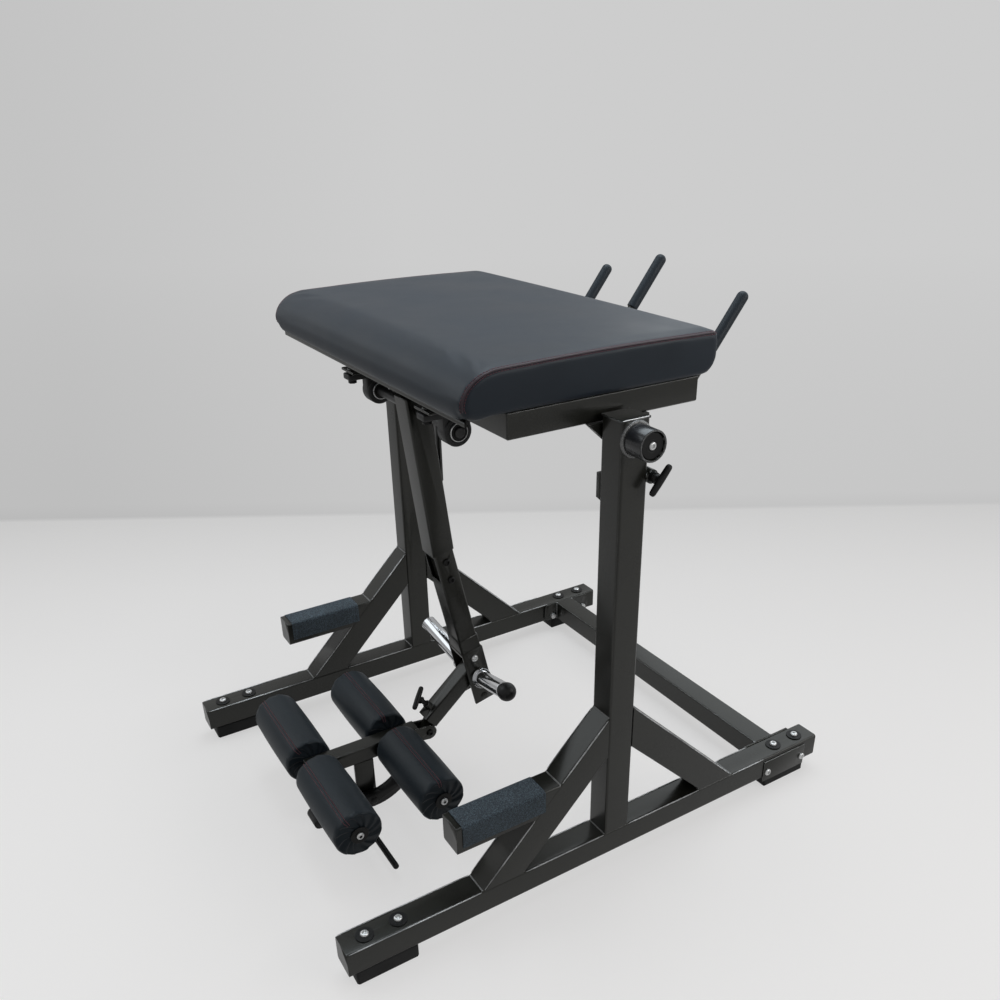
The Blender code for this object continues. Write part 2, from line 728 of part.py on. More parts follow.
def upright(word, side):
    """The post, its cap and the hub; the right-hand one also carries the tilt pin's boss."""
    middle_x = side * RAIL_X
    foot = place(middle_x, UPRIGHT_Y, RAIL_TOP + SEAT)
    head = place(middle_x, UPRIGHT_Y, UPRIGHT_TOP - CAP_THICKNESS / 2)
    post = tube(foot, head, TUBE, UPRIGHT_DEPTH, closed_end=True)
    half_x = TUBE / 2 + CAP_OVERHANG
    half_y = UPRIGHT_DEPTH / 2 + CAP_OVERHANG
    cap = block((middle_x - half_x, middle_x + half_x), (UPRIGHT_Y - half_y, UPRIGHT_Y + half_y),
                (UPRIGHT_TOP - CAP_THICKNESS, UPRIGHT_TOP))
    axis = X * side
    sleeve_start = place(side * RAIL_INNER_X, UPRIGHT_Y, TILT_Z)
    hub_root = place(side * (RAIL_OUTER_X - FUSE), UPRIGHT_Y, TILT_Z)
    hub_length = HUB_LENGTH + FUSE
    profile = [(0, HUB_RADIUS + HUB_COLLAR), (FUSE + HUB_COLLAR, HUB_RADIUS + HUB_COLLAR),
               (FUSE + 2 * HUB_COLLAR, HUB_RADIUS), (hub_length, HUB_RADIUS)]
    parts = [cap, turned(profile, hub_root, axis),
             rod(sleeve_start, sleeve_start + axis * (TUBE - FUSE), HUB_RADIUS / 1.5)]
    hub_end = place(side * HUB_END_X, UPRIGHT_Y, TILT_Z)
    recess = rod(hub_end - axis * HUB_RECESS_DEPTH, hub_end + axis * PAST, HUB_RADIUS - HUB_LIP)
    cutters = [recess, hole(sleeve_start, hub_end, TILT_AXLE)]
    if word == "right":
        boss_start = place(RAIL_INNER_X, PIN_Y, PIN_Z)
        boss_end = boss_start + X * TUBE
        parts.append(rod(boss_start, boss_end, PIN_BOSS))
        parts.append(rod(boss_end - X * FUSE, boss_end + X * PIN_COLLAR_LENGTH, PIN_COLLAR))
        cutters.append(hole(boss_start, boss_end + X * PIN_COLLAR_LENGTH, PIN_RADIUS))
    finish(cut(fuse(post, *parts), *cutters), f"upright_{word}", "frame_paint")


def t_pin(tip, axis, stem, bar_axis, bar_length):
    """A pull pin: a round stem with a rounded cross handle on its outer end."""
    axis = axis.normalized()
    bar_axis = bar_axis.normalized()
    centre = tip + axis * stem
    half = bar_length / 2
    bar_profile = dome(half, HANDLE_BAR_RADIUS, HANDLE_BAR_RADIUS * 0.8)
    bar_profile = [(-a, r) for a, r in reversed(bar_profile[1:])] + bar_profile[1:]
    shaft = turned([(0, PIN_RADIUS * 0.7), (PIN_RADIUS * 0.3, PIN_RADIUS), (stem, PIN_RADIUS)],
                   tip, axis)
    return fuse(shaft, turned(bar_profile, centre, bar_axis))


def tilt_pin():
    tip = place(TILT_PLATE_INNER_X + TILT_PLATE_THICKNESS / 6, PIN_Y, PIN_Z)
    outer = RAIL_OUTER_X + PIN_COLLAR_LENGTH + PIN_HANDLE_STANDOFF
    bar_axis = Vector((0, math.cos(PIN_HANDLE_TILT), math.sin(PIN_HANDLE_TILT)))
    shape = t_pin(tip, X, outer - tip.x, bar_axis, HANDLE_BAR_LENGTH)
    finish(shape, "tilt_pin", "black_steel", origin=tip)


# Pad carrier, which tilts on the hubs

def tilt_bracket(word, side, carrier):
    """The plate below the pad frame, welded to the axle that turns in the hub."""
    top = PAD_FRAME_BOTTOM - SEAT
    e = TILT_PLATE_EDGE
    outline = [(TILT_PLATE_TOP_FRONT_Y, top), (TILT_PLATE_TOP_FRONT_Y + 2 * e, TILT_Z),
               (TILT_PLATE_FRONT_Y, TILT_Z - 2 * e), (TILT_PLATE_FRONT_Y, TILT_PLATE_TOE_TOP),
               (TILT_PLATE_TOE_Y, TILT_PLATE_TOE_TOP), (TILT_PLATE_TOE_Y, TILT_PLATE_BOTTOM + e),
               (TILT_PLATE_TOE_Y + e, TILT_PLATE_BOTTOM), (PIN_Y, TILT_PLATE_BOTTOM),
               (TILT_PLATE_REAR_Y, PIN_Z), (TILT_PLATE_REAR_Y, top)]
    inner = side * TILT_PLATE_INNER_X
    outer = side * TILT_PLATE_OUTER_X
    shape = plate(outline, inner, outer)
    slot = tilt_slot(inner, outer)
    axis = X * side
    root = place(inner - side * FUSE, UPRIGHT_Y, TILT_Z)
    recess_floor = HUB_END_X - HUB_RECESS_DEPTH
    collar_end = RAIL_INNER_X - SEAT - TILT_PLATE_INNER_X + FUSE
    length = recess_floor - TILT_PLATE_INNER_X + FUSE
    profile = [(0, TILT_AXLE), (FUSE, TILT_AXLE), (FUSE, TILT_AXLE * 1.5), (collar_end, TILT_AXLE * 1.5),
               (collar_end, TILT_AXLE), (length, TILT_AXLE)]
    axle = turned(profile, root, axis)
    finish(fuse(cut(shape, slot), axle), f"tilt_bracket_{word}", "frame_paint", carrier)


def tilt_slot(inner, outer):
    """The arc slot that the tilt pin runs in as the carrier tilts."""
    middle = (UPRIGHT_Y, TILT_Z)
    base = math.degrees(math.atan2(PIN_Z - TILT_Z, PIN_Y - UPRIGHT_Y))
    travel = math.degrees(TILT_RANGE)
    half = hole_radius(PIN_RADIUS) + BORE_GAP
    outline = arc(middle, PIN_ARC + half, base, base + travel, 8)
    outline += slot_end(base + travel, half, 1)
    outline += arc(middle, PIN_ARC - half, base + travel, base, 8)
    outline += slot_end(base, half, -1)
    reach = math.copysign(PAST, outer - inner)
    return plate(outline, inner - reach, outer + reach)


def slot_end(degrees, half, way):
    """The round end of the slot, without the two places that its long sides already have."""
    centre = (UPRIGHT_Y + PIN_ARC * math.cos(math.radians(degrees)),
              TILT_Z + PIN_ARC * math.sin(math.radians(degrees)))
    if way > 0:
        return arc(centre, half, degrees, degrees + 180, 8)[1:-1]
    return arc(centre, half, degrees + 180, degrees + 360, 8)[1:-1]


def hub_cap(word, side, carrier):
    """The disc and bolt that close the hub's outer end and turn with the axle."""
    axis = X * side
    seat = place(side * (HUB_END_X - HUB_RECESS_DEPTH + SEAT), UPRIGHT_Y, TILT_Z)
    disc_radius = HUB_RADIUS - HUB_LIP - SIDE_PLAY
    disc = turned([(0, disc_radius), (HUB_RECESS_DEPTH / 2, disc_radius),
                   (HUB_RECESS_DEPTH / 2 + SIDE_PLAY, disc_radius - SIDE_PLAY)], seat, axis)
    head = button(seat + axis * HUB_RECESS_DEPTH / 2, axis, height=HUB_RECESS_DEPTH / 2)
    finish(fuse(disc, head), f"hub_cap_{word}", "black_steel", carrier)


def pad_frame(carrier):
    """The welded ring under the pad, with the stop bar that the pendulum rests on."""
    half = PAD_FRAME_HALF_WIDTH
    y_range = (PAD_FRAME_FRONT_Y, PAD_FRAME_REAR_Y)

    def ring(inset, low, high):
        body = block((-half + inset, half - inset), (y_range[0] + inset, y_range[1] - inset), (low, high))
        bore = block((-half + PAD_TUBE - inset, half - PAD_TUBE + inset),
                     (y_range[0] + PAD_TUBE - inset, y_range[1] - PAD_TUBE + inset),
                     (low - PAST, high + PAST))
        return cut(body, bore)

    outside = soften(ring(0, PAD_FRAME_BOTTOM, PAD_FRAME_TOP), PAD_TUBE_CORNER)
    hollow = ring(PAD_TUBE_WALL, PAD_FRAME_BOTTOM + PAD_TUBE_WALL, PAD_FRAME_TOP - PAD_TUBE_WALL)
    cutters = [hollow]
    for y in (PAD_FRAME_FRONT_Y + PAD_TUBE / 2, PAD_FRAME_REAR_Y - PAD_TUBE / 2):
        for x in (-PAD_BOLT_X, PAD_BOLT_X):
            bottom = place(x, y, PAD_FRAME_BOTTOM)
            cutters.append(hole(bottom, bottom + Z * PAD_TUBE, PAD_BOLT))
    finish(fuse(cut(outside, *cutters), stop_bar()), "pad_frame", "frame_paint", carrier)


def stop_bar():
    """The flat bar that hangs from a strap under the pad frame, behind the pendulum."""
    front = stop_front_y()
    rear = front + STOP_THICKNESS
    chamfer = STOP_THICKNESS * 0.6
    half = STOP_WIDTH / 2
    strap_top = PAD_FRAME_BOTTOM + FUSE
    strap_bottom = PAD_FRAME_BOTTOM - STOP_THICKNESS
    strap_front = PAD_FRAME_FRONT_Y + PAD_TUBE / 2
    outline = [(front, STOP_BOTTOM), (rear - chamfer, STOP_BOTTOM), (rear, STOP_BOTTOM + chamfer),
               (rear, strap_top), (strap_front, strap_top), (strap_front, strap_bottom),
               (front, strap_bottom)]
    return plate(outline, -half, half)


def stop_front_y():
    """Where the arm's rear face stands at the height of the stop bar's foot."""
    along = (SHAFT_Z - STOP_BOTTOM) / math.cos(UPPER_ARM_LEAN)
    centre = SHAFT_Y + along * math.sin(UPPER_ARM_LEAN)
    return centre + UPPER_ARM_DEPTH / 2 / math.cos(UPPER_ARM_LEAN) + SEAT


def pad_board(carrier):
    """The sheet that the pad is bolted to, folded down along its front edge."""
    top = BOARD_BOTTOM + BOARD_THICKNESS
    inner = BOARD_FRONT_Y + BOARD_THICKNESS
    outline = [(BOARD_FRONT_Y, top), (BOARD_FRONT_Y, top - BOARD_LIP), (inner, top - BOARD_LIP),
               (inner, BOARD_BOTTOM), (BOARD_REAR_Y, BOARD_BOTTOM), (BOARD_REAR_Y, top)]
    finish(plate(outline, -BOARD_HALF_WIDTH, BOARD_HALF_WIDTH), "pad_board", "frame_paint", carrier)


def oval_arc(centre, along, up, from_degrees, to_degrees, steps):
    """Places on a stretched arc: its half-width along Y, its half-height up."""
    circle = arc((0, 0), 1, from_degrees, to_degrees, steps)
    return [(centre[0] + along * y, centre[1] + up * z) for y, z in circle]


def pad_outline():
    """The pad seen from the side: flat underneath, with a rounded nose, rear foot and front foot."""
    along, up = PAD_FRONT_FOOT
    places = oval_arc((PAD_FRONT_Y + along, PAD_BOTTOM + up), along, up, 270, 180, 4)
    nose_height = PAD_TOP - PAD_BOTTOM - up
    nose_centre_y = PAD_FRONT_Y + PAD_NOSE_LENGTH
    nose = oval_arc((nose_centre_y, PAD_BOTTOM + up), PAD_NOSE_LENGTH, nose_height, 180, 90, 8)
    places += nose[1:]
    top_run = PAD_REAR_Y - PAD_REAR_ROUND - nose_centre_y
    for step in range(1, 8):
        share = step / 8
        crown = PAD_CROWN * math.sin(math.pi * share)
        places.append((nose_centre_y + top_run * share, PAD_TOP + crown))
    rear_top = (PAD_REAR_Y - PAD_REAR_ROUND, PAD_TOP - PAD_REAR_ROUND)
    places += arc(rear_top, PAD_REAR_ROUND, 90, 0, 3)
    along, up = PAD_REAR_FOOT
    places += oval_arc((PAD_REAR_Y - along, PAD_BOTTOM + up), along, up, 0, -90, 5)
    return places


def pad(carrier):
    """The cushion: its outline swept across, rounded and drawn in at the two sides."""
    outline = pad_outline()
    count = len(outline)
    stations = []
    for step in range(4):
        angle = math.pi / 2 * step / 3
        stations.append((PAD_HALF_WIDTH - PAD_EDGE_ROUND * (1 - math.sin(angle)),
                         PAD_EDGE_ROUND * (1 - math.cos(angle))))
    half_stations = [(x, inset) for x, inset in stations]
    rows = [(-x, inset) for x, inset in reversed(half_stations)]
    rows += [(PAD_HALF_WIDTH * share, 0) for share in (-0.75, -0.5, -0.25, 0, 0.25, 0.5, 0.75)]
    rows += half_stations
    rows = sorted(rows)
    middle_z = (PAD_BOTTOM + PAD_TOP) / 2
    points = []
    for x, inset in rows:
        for number, (y, z) in enumerate(outline):
            before = outline[number - 1]
            after = outline[(number + 1) % count]
            run = Vector((after[0] - before[0], after[1] - before[1])).normalized()
            width_share = 1 - (x / PAD_HALF_WIDTH) ** 2
            lift = PAD_CROWN * width_share if z > middle_z else 0
            points.append(place(x, y + run.y * inset, z - run.x * inset + lift))
    faces = []
    for row in range(len(rows) - 1):
        for number in range(count):
            after = (number + 1) % count
            low = row * count
            high = low + count
            faces.append((low + number, low + after, high + after, high + number))
    for row, sign in ((0, -1), (len(rows) - 1, 1)):
        faces += pad_side(points, row * count, count, sign)
    finish(new_shape(points, faces), "pad", "pad_vinyl", carrier)


def pad_side(points, first, count, sign):
    """A slightly bulging end face: the outline's ring, a smaller raised ring and a flat."""
    ring = list(range(first, first + count))
    centre = sum((points[index] for index in ring), Vector()) / count
    inner = []
    for index in ring:
        spot = centre + (points[index] - centre) * 0.8
        spot.x += sign * PAD_SIDE_BULGE
        inner.append(len(points))
        points.append(spot)
    faces = bridge(ring, inner) + [tuple(inner)]
    return faces if sign > 0 else [face[::-1] for face in faces]


def handle_frame(carrier):
    """The sloping beam behind the pad frame, its crossbar and the three rods."""
    start = place(0, PAD_FRAME_REAR_Y + SEAT, HANDLE_BEAM_Z)
    bar_centre = place(0, HANDLE_BAR_Y, HANDLE_BAR_Z)
    shape = tube(start, bar_centre, HANDLE_BEAM, HANDLE_BEAM, start_cut=Y)
    reach = X * (OUTER_ROD_X + HANDLE_BAR_END)
    fuse(shape, rod(bar_centre - reach, bar_centre + reach, HANDLE_BAR_TUBE))
    cut(shape, hole(bar_centre - reach, bar_centre + reach, HANDLE_BAR_TUBE - HANDLE_BAR_WALL))
    rods = []
    for foot, length in rod_feet():
        rods.append(rod(foot + GRIP_AXIS * HANDLE_BAR_TUBE * 0.75, foot + GRIP_AXIS * length, HANDLE_ROD))
    finish(fuse(shape, *rods), "handle_frame", "frame_paint", carrier)


def rod_feet():
    """Foot and length of each hand rod: right, middle and left."""
    slope = (HANDLE_BAR_Z - HANDLE_BEAM_Z) / (HANDLE_BAR_Y - PAD_FRAME_REAR_Y)
    middle_z = HANDLE_BAR_Z + slope * (MIDDLE_ROD_Y - HANDLE_BAR_Y)
    return [(place(OUTER_ROD_X, HANDLE_BAR_Y, HANDLE_BAR_Z), OUTER_ROD_LENGTH),
            (place(0, MIDDLE_ROD_Y, middle_z), MIDDLE_ROD_LENGTH),
            (place(-OUTER_ROD_X, HANDLE_BAR_Y, HANDLE_BAR_Z), OUTER_ROD_LENGTH)]


def hand_grips(carrier):
    for word, (foot, length) in zip(("right", "middle", "left"), rod_feet()):
        end = foot + GRIP_AXIS * (length + SEAT)
        start = end - GRIP_AXIS * GRIP_LENGTH
        body = turned(dome(GRIP_LENGTH + GRIP_TIP, GRIP_RADIUS, GRIP_RADIUS * 0.8), start, GRIP_AXIS)
        bore = rod(start - GRIP_AXIS * PAST, end, hole_radius(HANDLE_ROD), facets(HANDLE_ROD))
        finish(cut(body, bore), f"hand_grip_{word}", "grip_rubber", carrier)


def bearing_bolt_places():
    half = BEARING_BOLT_SPACING / 2
    return (SHAFT_Y - half, SHAFT_Y + half)


def bearing_mount(word, side, carrier):
    """The plate welded under the pad frame, with the bearing's two bolts."""
    middle_x = side * BEARING_X
    front, rear = bearing_bolt_places()
    bottom = MOUNT_TOP - MOUNT_THICKNESS
    shape = block((middle_x - MOUNT_WIDTH / 2, middle_x + MOUNT_WIDTH / 2),
                  (front - MOUNT_EDGE, rear + MOUNT_EDGE), (bottom, MOUNT_TOP))
    soften(shape, MOUNT_THICKNESS / 5)
    foot_face = BEARING_FACE_Z - BEARING_FOOT_THICKNESS - SEAT
    parts = []
    for y in (front, rear):
        seat = place(middle_x, y, MOUNT_TOP)
        parts.append(button(seat - Z * FUSE / 2, Z))
        parts.append(rod(place(middle_x, y, foot_face - NUT_HEIGHT / 2), seat, BOLT_RADIUS))
        parts.append(nut(place(middle_x, y, foot_face), -Z))
    finish(fuse(shape, *parts), f"bearing_mount_{word}", "frame_paint", carrier)


def bearing_housing(word, side, carrier):
    """A pillow block hung below its plate: foot, round body and inner ring."""
    middle_x = side * BEARING_X
    half = BEARING_WIDTH / 2
    top = min(BEARING_FACE_Z, MOUNT_TOP - MOUNT_THICKNESS) - SEAT
    foot = block((middle_x - half, middle_x + half),
                 (SHAFT_Y - BEARING_FOOT_LENGTH / 2, SHAFT_Y + BEARING_FOOT_LENGTH / 2),
                 (BEARING_FACE_Z - BEARING_FOOT_THICKNESS, top))
    soften(foot, BEARING_FOOT_THICKNESS / 4)
    centre = place(middle_x, SHAFT_Y, SHAFT_Z)
    body = turned([(-half, BEARING_RADIUS - FUSE), (FUSE - half, BEARING_RADIUS),
                   (half - FUSE, BEARING_RADIUS), (half, BEARING_RADIUS - FUSE)], centre, X)
    neck = block((middle_x - half * 0.8, middle_x + half * 0.8),
                 (SHAFT_Y - BEARING_RADIUS, SHAFT_Y + BEARING_RADIUS),
                 (SHAFT_Z, BEARING_FACE_Z - BEARING_FOOT_THICKNESS / 2))
    reach = half + BEARING_COLLAR_STANDOFF
    collar = rod(centre - X * reach, centre + X * reach, BEARING_COLLAR)
    cutters = [hole(centre - X * reach, centre + X * reach, SHAFT_RADIUS)]
    for y in bearing_bolt_places():
        foot_top = place(middle_x, y, top)
        cutters.append(hole(foot_top, foot_top - Z * BEARING_FOOT_THICKNESS, BOLT_RADIUS))
    finish(cut(fuse(foot, body, neck, collar), *cutters), f"bearing_housing_{word}", "bearing_iron", carrier)


# Pendulum, which swings on the shaft

def shaft(swing):
    centre = place(0, SHAFT_Y, SHAFT_Z)
    reach = BEARING_X + BEARING_WIDTH / 2 + BEARING_COLLAR_STANDOFF + SHAFT_END
    chamfer = SHAFT_RADIUS / 10
    profile = [(-reach, SHAFT_RADIUS - chamfer), (chamfer - reach, SHAFT_RADIUS),
               (reach - chamfer, SHAFT_RADIUS), (reach, SHAFT_RADIUS - chamfer)]
    finish(turned(profile, centre, X), "pendulum_shaft", "zinc", swing)


def arm_joint():
    """Where the two arms meet, on both centre lines."""
    return place(0, SHAFT_Y, SHAFT_Z) + UPPER_ARM_AXIS * UPPER_ARM_LENGTH


def on_lower_arm(distance, back=0, x=0):
    """A point down the lower arm from the joint, and so far behind its centre line."""
    return arm_joint() + LOWER_ARM_AXIS * distance + LOWER_ARM_BACK * back + X * x


def upper_arm(swing):
    """The upper tube, clamped on the shaft, and the tongue that it has inside the lower one."""
    centre = place(0, SHAFT_Y, SHAFT_Z)
    top = centre - UPPER_ARM_AXIS * UPPER_ARM_TOP
    shape = tube(top, arm_joint(), ARM_WIDTH, UPPER_ARM_DEPTH, end_cut=LOWER_ARM_AXIS,
                 closed_start=True, closed_end=True)
    tongue = bar(on_lower_arm(-FUSE), on_lower_arm(TONGUE_LENGTH), TONGUE_WIDTH, TONGUE_DEPTH)
    fuse(shape, tongue)
    half = X * ARM_WIDTH / 2
    cutters = [hole(centre - half, centre + half, SHAFT_RADIUS)]
    for distance in ARM_BOLT_AT:
        spot = on_lower_arm(distance)
        cutters.append(hole(spot - half, spot + half, BOLT_RADIUS))
    finish(cut(shape, *cutters), "upper_arm", "frame_paint", swing)


def lower_arm(swing):
    """The lower tube, its window and foot collar, and the cheeks that hold pegs and link."""
    foot = LOWER_ARM_LENGTH
    shape = bar(on_lower_arm(SEAT), on_lower_arm(foot - FUSE / 2), ARM_WIDTH, LOWER_ARM_DEPTH, CORNER)
    collar = bar(on_lower_arm(SLEEVE_FROM), on_lower_arm(foot - FUSE / 4), ARM_WIDTH + 2 * SLEEVE_THICKNESS,
                 LOWER_ARM_DEPTH + 2 * SLEEVE_THICKNESS, CORNER)
    outer_width = ARM_WIDTH + 2 * CHEEK_THICKNESS
    cheeks = bar(on_lower_arm(foot - 5 * FUSE), on_lower_arm(CHEEK_TO), outer_width, CHEEK_WIDTH)
    inside_shift = -CHEEK_THICKNESS / 2 - PAST / 2
    inside = bar(on_lower_arm(foot, inside_shift), on_lower_arm(CHEEK_TO + PAST, inside_shift),
                 ARM_WIDTH, CHEEK_WIDTH - CHEEK_THICKNESS + PAST)
    nut_spot = on_lower_arm(CHEEK_NUT_AT, x=outer_width / 2 - FUSE / 2)
    fuse(shape, collar, cut(cheeks, inside), rod(nut_spot, nut_spot + X * NUT_HEIGHT / 2, NUT_RADIUS, 6))
    half = X * outer_width / 2
    bore = bar(on_lower_arm(-PAST), on_lower_arm(foot + FUSE), ARM_WIDTH - 2 * WALL,
               LOWER_ARM_DEPTH - 2 * WALL)
    front = -LOWER_ARM_DEPTH / 2
    window = bar(on_lower_arm(WINDOW_FROM, front), on_lower_arm(WINDOW_TO, front), WINDOW_WIDTH, 4 * WALL)
    cutters = [bore, window]
    for distance in (*ARM_BOLT_AT, CHEEK_BOLT_AT):
        spot = on_lower_arm(distance)
        cutters.append(hole(spot - half, spot + half, BOLT_RADIUS))
    finish(cut(shape, *cutters), "lower_arm", "frame_paint", swing)


def arm_bolts(swing):
    half = ARM_WIDTH / 2
    for number, distance in enumerate(ARM_BOLT_AT, 1):
        shape = cross_bolt(on_lower_arm(distance, x=half), on_lower_arm(distance, x=-half))
        finish(shape, f"arm_bolt_{number}", "black_steel", swing)
    half += CHEEK_THICKNESS
    shape = cross_bolt(on_lower_arm(CHEEK_BOLT_AT, x=half), on_lower_arm(CHEEK_BOLT_AT, x=-half))
    finish(shape, "cheek_bolt", "zinc", swing)


def peg_axis(side):
    flat = Vector((side * math.cos(PEG_SWEEP), -math.sin(PEG_SWEEP), 0))
    return flat * math.cos(PEG_RISE) + Z * math.sin(PEG_RISE)


def weight_peg(word, side, swing):
    """A chrome peg with a shoulder for the weight plates, cut flat where it meets the cheek."""
    face_x = ARM_WIDTH / 2 + CHEEK_THICKNESS
    root = on_lower_arm(PEG_AT, x=side * face_x)
    axis = peg_axis(side)
    chamfer = PEG_RADIUS / 12
    length = PEG_LENGTH[word]
    profile = [(-PEG_RADIUS, PEG_RADIUS), (PEG_SHOULDER_FROM, PEG_RADIUS), (PEG_SHOULDER_FROM, PEG_SHOULDER),
               (PEG_SHOULDER_TO, PEG_SHOULDER), (PEG_SHOULDER_TO, PEG_RADIUS),
               (length - chamfer, PEG_RADIUS), (length, PEG_RADIUS - chamfer)]
    shape = turned(profile, root, axis)
    near = side * (face_x + SEAT)
    far = near - side * length
    span = 3 * PEG_SHOULDER
    y = root.y + RAIL_LENGTH / 2
    cheek_side = block((min(near, far), max(near, far)), (y - span, y + span), (root.z - span, root.z + span))
    finish(cut(shape, cheek_side), f"weight_peg_{word}", "chrome", swing)


def peg_ball(swing):
    """The rubber ball on the right-hand peg's end."""
    axis = peg_axis(1)
    root = on_lower_arm(PEG_AT, x=ARM_WIDTH / 2 + CHEEK_THICKNESS)
    flat = math.sqrt(PEG_BALL ** 2 - PEG_BALL_SEAT ** 2)
    centre = root + axis * (PEG_LENGTH["right"] + SEAT + flat)
    start = math.asin(PEG_BALL_SEAT / PEG_BALL)
    profile = []
    steps = 9
    for step in range(steps + 1):
        angle = start + (math.pi - start) * step / steps
        radius = PEG_BALL * math.sin(angle) if step < steps else 0
        profile.append((-PEG_BALL * math.cos(angle), radius))
    finish(turned(profile, centre, axis), "peg_ball", "grip_rubber", swing)


def head_hinge():
    return place(0, HEAD_Y, HEAD_Z)


def link(swing):
    """The sloping tube between the cheeks and the roller head, with its lug and pin collar."""
    on_line = place(0, LINK_Y, LINK_Z)
    web_face = CHEEK_WIDTH / 2 - CHEEK_THICKNESS - SEAT
    gap = web_face - (on_line - arm_joint()).dot(LOWER_ARM_BACK)
    start = on_line - LINK_AXIS * gap / -LINK_AXIS.dot(LOWER_ARM_BACK)
    hinge_at = (head_hinge() - on_line).dot(LINK_AXIS)
    end = on_line + LINK_AXIS * (hinge_at - LINK_END_CLEARANCE)
    shape = tube(start, end, LINK_WIDTH, LINK_DEPTH, start_cut=LOWER_ARM_BACK, closed_end=True)
    hinge = head_hinge()
    hinge_yz = (HEAD_Y, HEAD_Z)
    half = LINK_DEPTH / 2
    toward = end - LINK_AXIS * FUSE
    high = toward + LINK_UP * half * 0.3
    low = toward - LINK_UP * (half - FUSE / 4)
    slope = math.degrees(LINK_SLOPE)
    outline = [(high.y + RAIL_LENGTH / 2, high.z)]
    outline += arc(hinge_yz, LUG_RADIUS, 90 + slope, 270 + slope, 8)
    outline += [(low.y + RAIL_LENGTH / 2, low.z)]
    lug = plate(outline, -LUG_HALF_WIDTH, LUG_HALF_WIDTH)
    pin_foot = link_pin_foot()
    collar = rod(pin_foot - LINK_UP * FUSE, pin_foot + LINK_UP * LINK_PIN_COLLAR_LENGTH, PIN_COLLAR)
    fuse(shape, lug, collar)
    cutters = [hole(pin_foot - LINK_UP * LINK_DEPTH, pin_foot + LINK_UP * LINK_PIN_COLLAR_LENGTH, PIN_RADIUS),
               hole(hinge - X * LUG_HALF_WIDTH, hinge + X * LUG_HALF_WIDTH, BOLT_RADIUS)]
    finish(cut(shape, *cutters), "link", "frame_paint", swing)


def link_pin_foot():
    """Where the pull pin's axis leaves the link's upper face."""
    on_line = place(0, LINK_Y, LINK_Z)
    face = on_line + LINK_UP * LINK_DEPTH / 2
    along = (place(0, LINK_PIN_Y, 0).y - face.y) / LINK_AXIS.y
    return face + LINK_AXIS * along


def link_pin(swing):
    foot = link_pin_foot()
    depth = LINK_DEPTH - WALL
    tip = foot - LINK_UP * depth
    bar_axis = LINK_AXIS * math.cos(LINK_PIN_TURN) + X * math.sin(LINK_PIN_TURN)
    shape = t_pin(tip, LINK_UP, depth + LINK_PIN_STANDOFF, bar_axis, LINK_PIN_HANDLE)
    finish(shape, "link_pin", "black_steel", swing, tip)


# Roller head, which turns on the link's lug

def roller_beam(head):
    """The beam with two cheeks that straddle the link's lug."""
    half = BEAM_WIDTH / 2
    start = place(0, BEAM_FRONT_Y, BEAM_Z)
    end = place(0, BEAM_REAR_Y, BEAM_Z)
    shape = tube(start, end, BEAM_WIDTH, BEAM_WIDTH, closed_start=True, corner=WALL)
    inner = LUG_HALF_WIDTH + SIDE_PLAY / 3
    low = BEAM_Z - half + WALL / 2
    high = BEAM_Z + half - WALL / 2
    root_y = BEAM_REAR_Y - LUG_RADIUS
    parts = []
    for _, side in SIDES:
        outline = [(root_y, high), (root_y, low), (HEAD_Y, HEAD_Z - BEAM_CHEEK)]
        outline += arc((HEAD_Y, HEAD_Z), BEAM_CHEEK, -90, 90, 8)[1:]
        parts.append(plate(outline, side * inner, side * (half - WALL / 2)))
    fuse(shape, *parts)
    hinge = head_hinge()
    cutters = [hole(hinge - X * half, hinge + X * half, BOLT_RADIUS)]
    for y in ROLLER_Y.values():
        centre = place(0, y, BEAM_Z)
        cutters.append(hole(centre - X * half, centre + X * half, ROLLER_AXLE))
    finish(cut(shape, *cutters), "roller_beam", "frame_paint", head)


def head_bolt(head):
    half = X * (BEAM_WIDTH / 2 - WALL / 2)
    finish(cross_bolt(head_hinge() + half, head_hinge() - half), "head_bolt", "black_steel", head)


def roller_axle(end_name, head):
    """The rod through the beam, with a washer and a bolt head outside each roller."""
    centre = place(0, ROLLER_Y[end_name], BEAM_Z)
    seat = ROLLER_OUTER_X + SEAT
    reach = seat + ROLLER_WASHER_THICKNESS
    shape = rod(centre - X * reach, centre + X * reach, ROLLER_AXLE)
    parts = []
    for _, side in SIDES:
        inner = centre + X * side * seat
        outer = inner + X * side * ROLLER_WASHER_THICKNESS
        parts.append(rod(inner, outer, ROLLER_WASHER))
        parts.append(button(outer - X * side * ROLLER_WASHER_THICKNESS / 2, X * side, ROLLER_AXLE))
    finish(fuse(shape, *parts), f"roller_axle_{end_name}", "black_steel", head)


